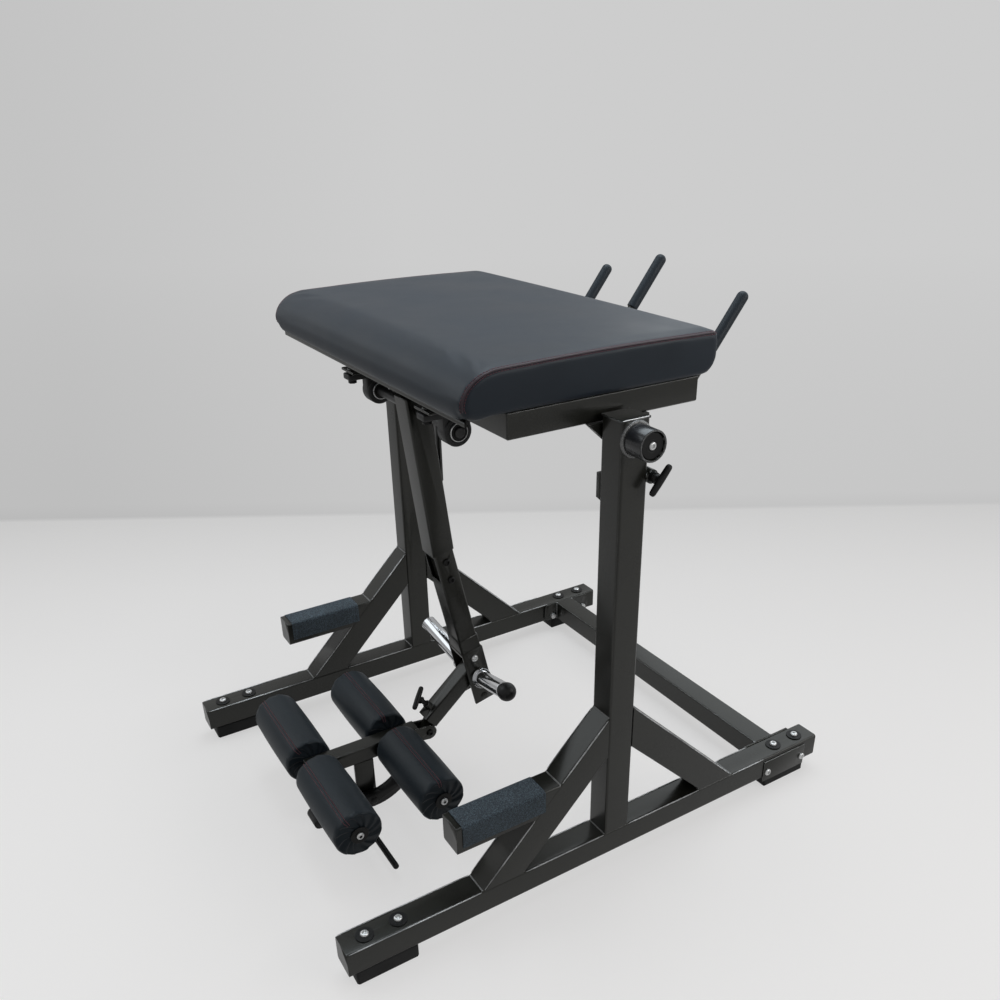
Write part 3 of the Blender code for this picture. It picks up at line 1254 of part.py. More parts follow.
def roller(end_name, word, side, head):
    """A foam roller with a slight crown and ends gathered into pleats."""
    segments = 2 * ROLLER_PLEATS
    bore = (ROLLER_AXLE + BORE_GAP) / math.cos(math.pi / segments)
    length = ROLLER_OUTER_X - ROLLER_INNER_X
    round_end = ROLLER_END_ROUND
    gathered = ROLLER_RADIUS - round_end
    sections = [(0, bore, 0), (0, gathered * ROLLER_PLEATS_FROM, 1), (ROLLER_PLEAT_DEPTH, gathered, 1)]
    for step in range(1, 4):
        angle = math.pi / 2 * step / 3
        sections.append((round_end * (1 - math.cos(angle)) + ROLLER_PLEAT_DEPTH,
                         gathered + round_end * math.sin(angle), 1 - step / 3))
    middle = (length / 2, ROLLER_RADIUS + ROLLER_CROWN, 0)
    sections = sections + [middle] + [(length - a, r, pleat) for a, r, pleat in reversed(sections)]
    start = place(side * ROLLER_INNER_X, ROLLER_Y[end_name], BEAM_Z)
    axis = X * side
    points = []
    rings = []
    for distance, radius, pleat in sections:
        rings.append(list(range(len(points), len(points) + segments)))
        inward = 1 if distance < length / 2 else -1
        for step in range(segments):
            angle = 2 * math.pi * step / segments
            fold = ROLLER_PLEAT_DEPTH * pleat * (step % 2)
            offset = Y * math.cos(angle) + Z * math.sin(angle)
            points.append(start + axis * (distance + inward * fold) + offset * radius)
    faces = []
    for lower, upper in zip(rings, rings[1:]):
        faces += bridge(lower, upper)
    faces += bridge(rings[-1], rings[0])
    centre = place(side * (ROLLER_INNER_X + ROLLER_OUTER_X) / 2, ROLLER_Y[end_name], BEAM_Z)
    finish(new_shape(points, faces), f"roller_{end_name}_{word}", "pad_vinyl", head, centre)


def drop_leg(head):
    """The flat leg welded under the beam's side, which carries the foot lever's pivot."""
    outer = BEAM_WIDTH / 2
    top = BEAM_Z - BEAM_WIDTH / 2 - SEAT
    bottom = LEVER_PIVOT_Z - LEVER_BOSS
    front = LEG_Y - LEG_DEPTH / 2
    rear = LEG_Y + LEG_DEPTH / 2
    outline = [(front, top), (front, bottom + LEG_CHAMFER), (front + LEG_CHAMFER, bottom),
               (rear - LEG_CHAMFER, bottom), (rear, bottom + LEG_CHAMFER), (rear, top)]
    shape = plate(outline, outer - LEG_THICKNESS, outer)
    centre = place(0, LEVER_PIVOT_Y, LEVER_PIVOT_Z)
    cut(shape, hole(centre, centre + X * outer, BOLT_RADIUS))
    finish(shape, "drop_leg", "frame_paint", head)


def lever_line():
    """The lever's centre line seen from the side, from its front end to its curled rear."""
    front = (LEVER_FRONT_Y, LEVER_PIVOT_Z + LEVER_FRONT_RISE)
    centre = (LEVER_PIVOT_Y, LEVER_PIVOT_Z + LEVER_BEND_RADIUS)
    return [front] + arc(centre, LEVER_BEND_RADIUS, -90, math.degrees(LEVER_BEND) - 90, 8)


def foot_lever(lever):
    """The curved bar beside the leg, with its pivot pin, end cap and side pedal."""
    line = lever_line()
    upper = []
    lower = []
    for number, (y, z) in enumerate(line):
        before = line[max(number - 1, 0)]
        after = line[min(number + 1, len(line) - 1)]
        run = Vector((after[0] - before[0], after[1] - before[1])).normalized()
        half = LEVER_DEPTH / 2
        upper.append((y - run.y * half, z + run.x * half))
        lower.append((y + run.y * half, z - run.x * half))
    shape = plate(lower + upper[::-1], LEVER_INNER_X, LEVER_OUTER_X)
    centre = place(0, LEVER_PIVOT_Y, LEVER_PIVOT_Z)
    leg_outer = BEAM_WIDTH / 2
    leg_inner = leg_outer - LEG_THICKNESS
    pin = rod(centre + X * (leg_inner - SEAT - NUT_HEIGHT / 2), centre + X * LEVER_OUTER_X, BOLT_RADIUS)
    washer = rod(centre + X * (leg_outer + SEAT), centre + X * (LEVER_INNER_X + FUSE), LEVER_BOSS)
    head = button(centre + X * (LEVER_OUTER_X - FUSE / 2), X)
    end_nut = nut(centre + X * (leg_inner - SEAT), -X)
    cap_centre = place(LEVER_INNER_X, *line[0])
    cap = rod(cap_centre, cap_centre + X * (LEVER_CAP_X - LEVER_INNER_X), LEVER_CAP_RADIUS)
    share = (PEDAL_Y - line[0][0]) / (line[1][0] - line[0][0])
    pedal_z = line[0][1] + (line[1][1] - line[0][1]) * share
    pedal_start = place(LEVER_OUTER_X - FUSE, PEDAL_Y, pedal_z)
    pedal_length = PEDAL_END_X - LEVER_OUTER_X + FUSE
    pedal = turned(dome(pedal_length, PEDAL_RADIUS, PEDAL_RADIUS * 0.8), pedal_start, X)
    shape = fuse(shape, pin, washer, head, end_nut, cap, pedal)
    finish(shape, "foot_lever", "black_steel", lever)


def build_base():
    for word, side in SIDES:
        rail(word, side)
        for end_name in ("front", "rear"):
            rubber_foot(word, side, end_name)
            rail_bolts(word, side, end_name)
        upright(word, side)
        front_brace(word, side)
        rear_brace(word, side)
        grip_tape(word, side)
        crossbar_bolts(word, side)
    rear_crossbar()
    tilt_pin()


def build_pad_carrier(carrier):
    for word, side in SIDES:
        tilt_bracket(word, side, carrier)
        hub_cap(word, side, carrier)
        bearing_mount(word, side, carrier)
        bearing_housing(word, side, carrier)
    pad_frame(carrier)
    pad_board(carrier)
    pad(carrier)
    handle_frame(carrier)
    hand_grips(carrier)


def build_pendulum(swing):
    shaft(swing)
    upper_arm(swing)
    lower_arm(swing)
    arm_bolts(swing)
    for word, side in SIDES:
        weight_peg(word, side, swing)
    peg_ball(swing)
    link(swing)
    link_pin(swing)


def build_roller_head(head):
    roller_beam(head)
    head_bolt(head)
    drop_leg(head)
    for end_name in ("front", "rear"):
        roller_axle(end_name, head)
        for word, side in SIDES:
            roller(end_name, word, side, head)


def main():
    clear_scene()
    build_base()
    carrier = pivot("tilt_pivot", place(0, UPRIGHT_Y, TILT_Z))
    build_pad_carrier(carrier)
    swing = pivot("swing_pivot", place(0, SHAFT_Y, SHAFT_Z), carrier)
    build_pendulum(swing)
    head = pivot("head_pivot", head_hinge(), swing)
    build_roller_head(head)
    lever = pivot("lever_pivot", place(0, LEVER_PIVOT_Y, LEVER_PIVOT_Z), head)
    foot_lever(lever)


main()
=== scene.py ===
"""Looks for the reverse hyperextension machine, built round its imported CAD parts.

Lengths are in metres in the CAD's frame. As in the part's own source, y is given as the
distance from the front ends of the floor rails wherever a point goes through place().
"""

import math

import bmesh
import bpy
from mathutils import Matrix, Vector, noise
from mathutils.bvhtree import BVHTree


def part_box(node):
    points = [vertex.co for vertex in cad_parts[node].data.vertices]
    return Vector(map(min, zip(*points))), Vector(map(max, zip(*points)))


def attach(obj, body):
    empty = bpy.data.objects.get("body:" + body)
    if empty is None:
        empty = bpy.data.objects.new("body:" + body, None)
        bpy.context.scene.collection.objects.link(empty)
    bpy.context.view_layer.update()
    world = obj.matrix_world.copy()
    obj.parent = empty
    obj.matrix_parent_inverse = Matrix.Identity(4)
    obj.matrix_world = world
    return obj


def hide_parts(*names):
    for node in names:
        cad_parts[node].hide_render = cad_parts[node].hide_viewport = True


X = Vector((1, 0, 0))
Y = Vector((0, 1, 0))
Z = Vector((0, 0, 1))
SIDES = (("right", 1), ("left", -1))
RAIL_LENGTH = 1.293

# Sizes repeated from the part's source
RAIL_X = 0.480
RAIL_INNER_X = 0.450
RAIL_OUTER_X = 0.510
RAIL_TOP = 0.098
CROSSBAR_Y = 1.171
CROSSBAR_Z = 0.068
RAIL_BOLT_Y = {"front": (0.050, 0.123), "rear": (CROSSBAR_Y, 1.245)}
FLANGE_BOLT_Y = (1.124, 1.243)
FLANGE_BOLT_Z = 0.055
UPRIGHT_Y = 0.650
UPRIGHT_HALF = 0.032
UPRIGHT_TOP = 1.049
CORNER_IN = 0.0008           # how far a tube's rounded corner lies inside its two faces
FRONT_BRACE_Y = 0.3555
REAR_BRACE_Y = 0.949
BRACE_DEPTH = 0.073
FOOTHOLD_TOP = 0.291
FOOTHOLD_HEIGHT = 0.065
TILT_Z = 1.011
HUB_RADIUS = 0.030
HUB_END_X = 0.560
HUB_RECESS = 0.008
PIN_Y = 0.694
PIN_Z = 0.930
PIN_RADIUS = 0.006
PIN_HANDLE_TILT = math.radians(51)
PAD_HALF_WIDTH = 0.456
PAD_FRONT_Y = 0.326
PAD_REAR_Y = 0.889
PAD_BOTTOM = 1.0856
PAD_TOP = 1.165
PAD_NOSE_LENGTH = 0.078
PAD_FRONT_RISE = 0.020       # height of the curve under the nose
PAD_REAR_FOOT = (0.038, 0.032)
PAD_REAR_ROUND = 0.012
PAD_CROWN = 0.004
PAD_GIRTH = 1.27             # length of the pad's side outline
BOARD_FRONT_Y = 0.342
BOARD_HALF_WIDTH = 0.437
PAD_FRAME_REAR_Y = 0.857
HANDLE_BEAM_Z = 1.050
HAND_RODS = {"right": ((0.244, 1.009, 0.9864), 0.2305), "middle": ((0, 0.955, 1.0090), 0.269),
             "left": ((-0.244, 1.009, 0.9864), 0.2305)}
GRIP_LEAN = math.radians(52)
GRIP_AXIS = Vector((0, math.cos(GRIP_LEAN), math.sin(GRIP_LEAN)))
GRIP_RADIUS = 0.013
GRIP_LENGTH = 0.130
GRIP_TIP = 0.010
SHAFT_Y = 0.458
SHAFT_Z = 0.976
BEARING_X = 0.182
BEARING_FACE_Z = 1.0214
BEARING_BOLT_Y = (SHAFT_Y - 0.059, SHAFT_Y + 0.059)
UPPER_ARM_LEAN = math.radians(6.6)
UPPER_ARM_LENGTH = 0.3444
LOWER_ARM_LEAN = math.radians(12.2)
LOWER_ARM_AXIS = Vector((0, math.sin(LOWER_ARM_LEAN), -math.cos(LOWER_ARM_LEAN)))
ARM_BOLT_AT = (0.0246, 0.0737)
CHEEK_X = 0.036
CHEEK_BOLT_AT = 0.309
PEG_AT = 0.3704
PEG_RADIUS = 0.0195
PEG_LENGTH = {"right": 0.176, "left": 0.168}
PEG_RISE = math.radians(20.5)
PEG_SWEEP = math.radians(9.3)
PEG_BALL = 0.0225
LINK_SLOPE = math.radians(40.7)
LINK_AXIS = Vector((0, -math.cos(LINK_SLOPE), -math.sin(LINK_SLOPE)))
LINK_UP = Vector((0, -math.sin(LINK_SLOPE), math.cos(LINK_SLOPE)))
LINK_Y = 0.545               # a point on its centre line
LINK_Z = 0.262
LINK_DEPTH = 0.042
LINK_PIN_Y = 0.451
LINK_PIN_INSIDE = 0.039      # from the link's face to the pin's tip
LINK_PIN_STANDOFF = 0.049    # from the link's face to the handle
LINK_PIN_TURN = math.radians(32)
HEAD_Y = 0.437
HEAD_Z = 0.145
BEAM_Z = 0.152
ROLLER_Y = {"front": 0.136, "rear": 0.341}
ROLLER_RADIUS = 0.0555
ROLLER_INNER_X = 0.026
ROLLER_OUTER_X = 0.270
SHOULDER = 0.0065          # radius of the rollers' end edges
STITCH_ANGLE = {"front": 122, "rear": 97}

# Details that only this script has
LIFT = 0.0002                # how far thin trim stands off the CAD's surface
BOLT_PLATE = 0.0028          # thickness of the plate under the crossbar's bolt heads
FOAM_CROWN = 0.0015          # how much a roller is thicker in its middle
FOLD_DEPTH = 0.0036          # of the gathered folds in a roller's ends
PLEAT_JITTER = (0.0, 0.13, -0.09, 0.05, -0.14, 0.10, 0.02, -0.11, 0.12, -0.04, 0.08, -0.12)
PLEAT_DEPTH = (1.0, 0.7, 0.95, 0.8, 1.0, 0.65, 0.9, 1.0, 0.75, 0.95, 0.7, 0.9)
FILL_FRAMES = 20
FILL_PRESSURE = 4
FILL_CAP = 0.0012            # how far the filling may move a point of the pad's cover
CLOTH = {"quality": 4, "mass": 0.4, "tension_stiffness": 30, "compression_stiffness": 30,
         "shear_stiffness": 15, "bending_stiffness": 4, "use_pressure": True,
         "uniform_pressure_force": FILL_PRESSURE, "vertex_group_mass": "held"}
# Turned outlines of a bearing's bright inner rim, and of its dark rings with their distance from its middle
BEARING_RIM = [(-0.004, 0.0196), (0.0034, 0.0196), (0.0040, 0.0191), (0.0040, 0.0180), (0.0032, 0.0177),
               (0.0, 0.0177)]
BEARING_RINGS = [(0.0166, [(0, 0.0275), (0.0004, 0.0268), (-0.0006, 0.0205), (-0.003, 0.0200)]),
                 (0.0172, [(0.0, 0.0178), (0.0030, 0.0178), (0.0036, 0.0170), (0.0036, 0.0113),
                           (0.0, 0.0111)]),
                 (0.0170, [(-0.001, 0.0268), (0.0003, 0.0266), (0.0004, 0.0261), (-0.001, 0.0258)])]

# Studio
CAMERA_PLACE = (1.7416, -1.0152, 1.5416)
CAMERA_TURN = (2.5945, -0.4773, -0.0172)       # yaw, pitch and roll
AWAY = (-0.854, 0.520, 0)    # level direction from the camera to the machine
ASIDE = (0.520, 0.854, 0)    # level direction to the camera's right
FLOOR_LIGHT = 0.44           # how brightly the lamps light the floor
FLOOR_KEEP = 0.20            # share of the floor's tone that comes from the lamps and can be in shadow
# Painted light on the floor: its grey at shares of the way from near to far, darker further off
FLOOR_TONES = ((0.0, 0.88), (0.22, 0.84), (0.62, 0.745), (0.80, 0.69), (0.92, 0.64), (1.0, 0.60))
# Painted light on the wall: its grey near the floor and far off
WALL_LOW = 0.57
WALL_HIGH = 0.61
WALL_DIM = 0.90              # painted shade: the wall's share of its full brightness at the far left
MIRRORED = 0.62              # how much of the pale surroundings the glossy parts reflect
# Name, place, aim, width, height, power and colour of each lamp
LAMPS = (("overhead", (-0.4, 0.5, 3.4), (0, 0, 0.6), 2.6, 2.2, 52, (0.83, 0.93, 1.0)),
         ("far_panel", (-0.8, 2.7, 2.0), (0.4, 0.5, 0.1), 2.8, 2.0, 13, (0.88, 0.95, 1.0)),
         ("left_panel", (-1.4, -1.9, 2.4), (0.2, -0.1, 0.4), 2.4, 2.0, 16, (0.88, 0.95, 1.0)),
         ("right_strip", (2.6, 1.9, 1.9), (0.4, 0.2, 0.3), 3.0, 0.5, 26, (1.0, 1.0, 1.0)),
         ("front_fill", (1.6, -3.2, 2.2), (0, 0, 0.6), 2.4, 2.4, 2, (1.0, 1.0, 1.0)),
         ("left_fill", (-3.2, -0.8, 2.0), (0, 0, 0.6), 2.4, 2.4, 3, (1.0, 1.0, 1.0)))


def place(x, y, z):
    """A point whose y is counted back from the front ends of the rails."""
    return Vector((x, y - RAIL_LENGTH / 2, z))


def on_lower_arm(distance, x):
    """A point on the lower arm's middle line, moved sideways by x."""
    upper = Vector((0, math.sin(UPPER_ARM_LEAN), -math.cos(UPPER_ARM_LEAN)))
    joint = place(0, SHAFT_Y, SHAFT_Z) + upper * UPPER_ARM_LENGTH
    return joint + LOWER_ARM_AXIS * distance + X * x


# Shapes. Each is a pair: points, and faces as tuples of point numbers.

def arc(start, end, steps):
    """Even angles from start to end degrees, with both ends."""
    return [math.radians(start + (end - start) * step / steps) for step in range(steps + 1)]


def circle(steps):
    return [2 * math.pi * step / steps for step in range(steps)]


def around(side, up, angle):
    return side * math.cos(angle) + up * math.sin(angle)


def frame_about(axis):
    """Two directions square to an axis."""
    side = X if abs(axis.dot(X)) < 0.9 else Y
    side = (side - axis * side.dot(axis)).normalized()
    return side, axis.cross(side)


def joined(*shapes):
    points = []
    faces = []
    for more_points, more_faces in shapes:
        first = len(points)
        points += more_points
        faces += [tuple(first + index for index in face) for face in more_faces]
    return points, faces


def skin(rings, closed=False):
    """Faces between rings of equal count, each ring a list of points."""
    count = len(rings[0])
    points = [point for ring in rings for point in ring]
    faces = []
    last = len(rings) if closed else len(rings) - 1
    for number in range(last):
        low = number * count
        high = (number + 1) % len(rings) * count
        for step in range(count):
            after = (step + 1) % count
            faces.append((low + step, low + after, high + after, high + step))
    if not closed:
        faces.append(tuple(reversed(range(count))))
        faces.append(tuple(range(len(points) - count, len(points))))
    return points, faces


def six_sided(angle):
    """Radius of a hexagon of unit corner radius at this angle."""
    return math.cos(math.pi / 6) / math.cos(angle % (math.pi / 3) - math.pi / 6)


def lathe(profile, start, axis, steps=48):
    """A turned solid from (distance, radius) or (distance, radius, "six") entries."""
    axis = axis.normalized()
    side, up = frame_about(axis)
    rings = []
    for distance, radius, *form in profile:
        ring = []
        for angle in circle(steps):
            reach = radius * six_sided(angle) if form else radius
            ring.append(start + axis * distance + around(side, up, angle) * reach)
        rings.append(ring)
    return skin(rings)


def sweep(path, radius, steps=10, closed=False, ripple=0.0, pitch=0.0035):
    """A round bead along a path of points, with an even ripple where it is welded."""
    rings = []
    count = len(path)
    up = Z
    travelled = 0.0
    for number, spot in enumerate(path):
        before = path[number - 1] if closed or number else path[0]
        after = path[(number + 1) % count] if closed or number < count - 1 else path[-1]
        run = (after - before).normalized()
        side = run.cross(up)
        if side.length < 0.05:
            side = run.cross(X)
        side.normalize()
        up = side.cross(run).normalized()
        if number:
            travelled += (spot - path[number - 1]).length
        swell = 1 + ripple * math.sin(2 * math.pi * travelled / pitch)
        swell *= 1 + 0.6 * ripple * noise.noise(spot * 140)
        if not closed and number in (0, count - 1):
            swell *= 0.35
        rings.append([spot + around(side, up, angle) * radius * swell for angle in circle(steps)])
    return skin(rings, closed)


def between(start, end, spacing):
    count = max(int((end - start).length / spacing), 1)
    return [start.lerp(end, step / count) for step in range(count + 1)]


def loop_path(corners, spacing):
    path = []
    for number, corner in enumerate(corners):
        path += between(corner, corners[(number + 1) % len(corners)], spacing)[:-1]
    return path


def weld(corners, radius=0.0026, closed=True):
    """A welded bead round a line of corners."""
    if closed:
        return sweep(loop_path(corners, 0.0009), radius, 8, True, 0.16)
    return sweep(between(corners[0], corners[-1], 0.0009), radius, 8, False, 0.16)


def ring_path(centre, axis, radius, steps):
    side, up = frame_about(axis)
    return [centre + around(side, up, angle) * radius for angle in circle(steps)]


def stitch(start, end, radius):
    """One stitch: a small rounded thread between two points."""
    axis = end - start
    length = axis.length
    profile = [(0, radius * 0.4), (radius * 0.6, radius * 0.9), (length / 2, radius),
               (length - radius * 0.6, radius * 0.9), (length, radius * 0.4)]
    return lathe(profile, start, axis, 6)


def bolt_head(seat, axis, radius=0.009, height=0.0055):
    """A domed head with a six-sided socket."""
    profile = [(0, radius * 0.97), (height * 0.08, radius)]
    for angle in arc(0, 90, 6):
        profile.append((height * (0.25 + 0.75 * math.sin(angle)), radius * (0.60 + 0.40 * math.cos(angle))))
    profile += [(height, radius * 0.50, "six"), (height * 0.9, radius * 0.47, "six"),
                (height * 0.35, radius * 0.46, "six"), (height * 0.25, radius * 0.2)]
    return lathe(profile, seat, axis, 48)


def hex_nut(seat, axis, radius=0.0095, height=0.008):
    return lathe([(0, radius * 0.93), (height * 0.08, radius, "six"), (height * 0.9, radius, "six"),
                  (height, radius * 0.88), (height, radius * 0.5), (height * 0.8, radius * 0.46)],
                 seat, axis, 48)


def rounded_block(low, high, radius, segments=4):
    """A box with rounded edges, as a shape."""
    mesh = bmesh.new()
    bmesh.ops.create_cube(mesh, size=1)
    for vertex in mesh.verts:
        vertex.co = [a + (share + 0.5) * (b - a) for a, b, share in zip(low, high, vertex.co)]
    bmesh.ops.bevel(mesh, geom=list(mesh.edges), offset=radius, segments=segments, profile=0.5,
                    affect="EDGES")
    points = [vertex.co.copy() for vertex in mesh.verts]
    faces = [tuple(vertex.index for vertex in face.verts) for face in mesh.faces]
    mesh.free()
    return points, faces


def new_object(name, points, faces, angle=35):
    mesh = bpy.data.meshes.new(name)
    mesh.from_pydata([tuple(point) for point in points], [], faces)
    mesh.validate()
    mesh.shade_smooth()
    mesh.set_sharp_from_angle(angle=math.radians(angle))
    item = bpy.data.objects.new(name, mesh)
    bpy.context.scene.collection.objects.link(item)
    return item


def piece(name, body, slot, *layers, replaces=(), angle=35):
    """One visible piece made of shapes, each with its own material."""
    points = []
    faces = []
    marks = []
    for number, (shape, _) in enumerate(layers):
        first = len(points)
        points += shape[0]
        faces += [tuple(first + index for index in face) for face in shape[1]]
        marks += [number] * len(shape[1])
    item = new_object(name, points, faces, angle)
    for _, material in layers:
        item.data.materials.append(material)
    item.data.polygons.foreach_set("material_index", marks)
    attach(item, body)
    if replaces:
        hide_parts(*replaces)
    return item


# Materials

def grey(value, tint=(1.0, 1.0, 1.0)):
    return (value * tint[0], value * tint[1], value * tint[2], 1.0)


class Nodes:
    """Short names for the nodes of one tree."""

    def __init__(self, tree):
        self.tree = tree

    def add(self, kind, inputs=(), **settings):
        """A node with its settings, and each given input linked or set."""
        node = self.tree.nodes.new("ShaderNode" + kind)
        for key, value in settings.items():
            setattr(node, key, value)
        for key, value in dict(inputs).items():
            self.join(node.inputs[key], value)
        return node

    def join(self, socket, value):
        if isinstance(value, bpy.types.NodeSocket):
            self.tree.links.new(value, socket)
        else:
            socket.default_value = value

    def math(self, operation, first, second=0.0):
        return self.add("Math", {0: first, 1: second}, operation=operation).outputs[0]

    def times(self, first, second):
        return self.math("MULTIPLY", first, second)

    def vector(self, operation, first, second=(0.0, 0.0, 0.0)):
        node = self.add("VectorMath", {0: first, 1: second}, operation=operation)
        return node.outputs["Value" if operation == "DOT_PRODUCT" else "Vector"]

    def scaled(self, colour, factor):
        return self.add("VectorMath", {0: colour, "Scale": factor}, operation="SCALE").outputs["Vector"]

    def fit(self, value, from_low, from_high, to_low, to_high):
        return self.add("MapRange", {"Value": value, "From Min": from_low, "From Max": from_high,
                                     "To Min": to_low, "To Max": to_high}).outputs["Result"]

    def spread(self, value, low, high):
        """A noise's usual range fitted to two limits."""
        return self.fit(value, 0.3, 0.7, low, high)

    def blend(self, share, first, second):
        node = self.add("Mix", data_type="RGBA")
        self.join(node.inputs[0], share)
        self.join(node.inputs[6], first)
        self.join(node.inputs[7], second)
        return node.outputs[2]

    def mixed(self, share, first, second):
        """One shader blended over another."""
        return self.add("MixShader", {0: share, 1: first, 2: second}).outputs[0]


class Surface(Nodes):
    """A procedural material built on the tree's own shader."""

    def __init__(self, name, **shader):
        self.material = bpy.data.materials.new(name)
        self.material.use_nodes = True
        super().__init__(self.material.node_tree)
        self.shader = self.tree.nodes["Principled BSDF"]
        for key, value in shader.items():
            self.shader.inputs[key.replace("_", " ")].default_value = value
        self.spot = self.add("TexCoord").outputs["Object"]

    def noise(self, scale, detail=2.0, rough=0.5, spot=None):
        return self.add("TexNoise", {"Vector": spot or self.spot, "Scale": scale, "Detail": detail,
                                     "Roughness": rough}).outputs["Fac"]

    def cells(self, scale, output="Distance"):
        return self.add("TexVoronoi", {"Vector": self.spot, "Scale": scale}).outputs[output]

    def cell_tone(self, scale):
        """One random number for each cell."""
        return self.add("SeparateColor", {"Color": self.cells(scale, "Color")}).outputs[0]

    def stretched(self, scale):
        return self.add("Mapping", {"Vector": self.spot, "Scale": scale}).outputs["Vector"]

    def rounded(self, radius, samples=4):
        """The shading normal with the CAD's hard edges slightly rounded."""
        return self.add("Bevel", {"Radius": radius}, samples=samples).outputs["Normal"]

    def edge(self, radius, low=0.02, high=0.25):
        """1 along convex and concave edges, 0 on flat and gently curved faces."""
        plain = self.add("NewGeometry").outputs["Normal"]
        turn = self.vector("DOT_PRODUCT", self.rounded(radius, 6), plain)
        return self.fit(self.math("SUBTRACT", 1.0, turn), low, high, 0.0, 1.0)

    def bump(self, height, strength, distance, normal=None):
        inputs = {"Height": height, "Strength": strength, "Distance": distance}
        if normal:
            inputs["Normal"] = normal
        return self.add("Bump", inputs).outputs["Normal"]

    def finish(self, *values):
        """Sets the shader's colour, roughness, normal and metal, as far as they are given."""
        for key, value in zip(("Base Color", "Roughness", "Normal", "Metallic"), values):
            self.join(self.shader.inputs[key], value)
        return self.material


def frame_paint(name, edge_wear_and_highlight):
    """Dark metallic paint with a slight olive tint, fine flakes, and bright edges that are partly wear and
    partly painted highlight.
    """
    look = Surface(name, Metallic=0.30, Specular_IOR_Level=0.55, Coat_Weight=0.25, Coat_Roughness=0.14)
    slow = look.noise(6, 3)
    sparkle = look.cell_tone(2600)
    base = look.blend(look.spread(slow, 0, 1), (0.014, 0.014, 0.010, 1), (0.020, 0.020, 0.015, 1))
    base = look.blend(look.fit(sparkle, 0.86, 1.0, 0, 0.5), base, (0.080, 0.080, 0.074, 1))
    scuffs = look.noise(70, 4, 0.65)
    # Bright edges, partly wear and partly painted highlight, broken up by the scuffs noise
    edge = look.times(look.edge(0.0022, 0.004, 0.05), look.fit(scuffs, 0.30, 0.60, 0.35, 1.0))
    facing = look.add("SeparateXYZ", {"Vector": look.add("NewGeometry").outputs["Normal"]})
    # Painted highlight: edges that face upwards, towards the lamps, are painted brighter
    upward_highlight = look.fit(facing.outputs["Z"], -0.1, 0.6, 0.25 * edge_wear_and_highlight, edge_wear_and_highlight)
    colour = look.blend(look.times(edge, upward_highlight), base, (0.58, 0.58, 0.57, 1))
    rough = look.math("ADD", look.spread(slow, 0.26, 0.36), look.fit(sparkle, 0, 1, -0.03, 0.03))
    return look.finish(colour, rough, look.bump(look.noise(700, 2), 0.10, 0.0004, look.rounded(0.0009)))


def hub_black():
    """Gloss black enamel with a bright worn rim."""
    look = Surface("hub_gloss_look", Coat_Weight=0.5, Coat_Roughness=0.20)
    slow = look.noise(40, 3)
    scuffs = look.noise(180, 4, 0.7)
    worn = look.times(look.edge(0.0009, 0.01, 0.12), look.fit(scuffs, 0.35, 0.6, 0.3, 1.0))
    base = look.blend(slow, (0.026, 0.027, 0.030, 1), (0.038, 0.039, 0.043, 1))
    return look.finish(look.blend(worn, base, grey(0.60)), look.spread(slow, 0.20, 0.30),
                       look.bump(scuffs, 0.04, 0.0004), worn)


def weld_with_highlight():
    """Painted weld, brighter and glossier than the tubes round it: its lighter colour is a painted highlight.
    """
    look = Surface("weld_look", Metallic=0.35)
    slow = look.noise(90, 3)
    # Far lighter than the tube paint: a painted highlight for the bead's shine
    colour = look.blend(slow, (0.16, 0.16, 0.158, 1), (0.42, 0.42, 0.415, 1))
    return look.finish(colour, look.spread(slow, 0.22, 0.38), look.bump(look.noise(900, 3), 0.35, 0.0005))


def edge_highlight_and_wear():
    """Painted highlights along the tubes' rounded corners, partly wear: bright in places, dark in others."""
    look = Surface("worn_edge_look", Metallic=0.2)
    slow = look.noise(7, 3, 0.6)
    fine = look.noise(120, 3, 0.6)
    share = look.times(look.fit(slow, 0.36, 0.56, 0.30, 1.0), look.fit(fine, 0.3, 0.6, 0.6, 1.0))
    return look.finish(look.blend(share, grey(0.06), grey(0.95)), look.spread(fine, 0.25, 0.40))


def vinyl(name, dark, light, grain=0.22):
    """Grained upholstery vinyl, with painted shade in the grain's pits."""
    look = Surface(name, Specular_IOR_Level=0.30, Sheen_Weight=0.05, Sheen_Roughness=0.5)
    slow = look.noise(5, 3)
    pores = look.cells(620)
    fine = look.noise(1500, 2)
    colour = look.blend(look.spread(slow, 0, 1), dark, light)
    # Painted shade: the grain's pits, where the bump is lowest, are drawn darker
    colour = look.blend(look.fit(pores, 0.0, 0.25, 0.35, 0.0), colour, grey(0.004))
    height = look.math("ADD", look.times(look.fit(pores, 0, 0.6, 0, 1), 0.7), look.times(fine, 0.3))
    normal = look.bump(height, grain, 0.0006, look.bump(look.noise(14, 3, 0.6), 0.10, 0.004))
    return look.finish(colour, look.spread(slow, 0.38, 0.50), normal)


def thread(name, colour):
    """Twisted sewing thread."""
    look = Surface(name, Sheen_Weight=0.3)
    twist = look.noise(1600, 2)
    shade = look.blend(twist, colour, tuple(channel * 0.55 for channel in colour[:3]) + (1.0,))
    return look.finish(shade, look.spread(twist, 0.55, 0.8), look.bump(twist, 0.5, 0.0003))


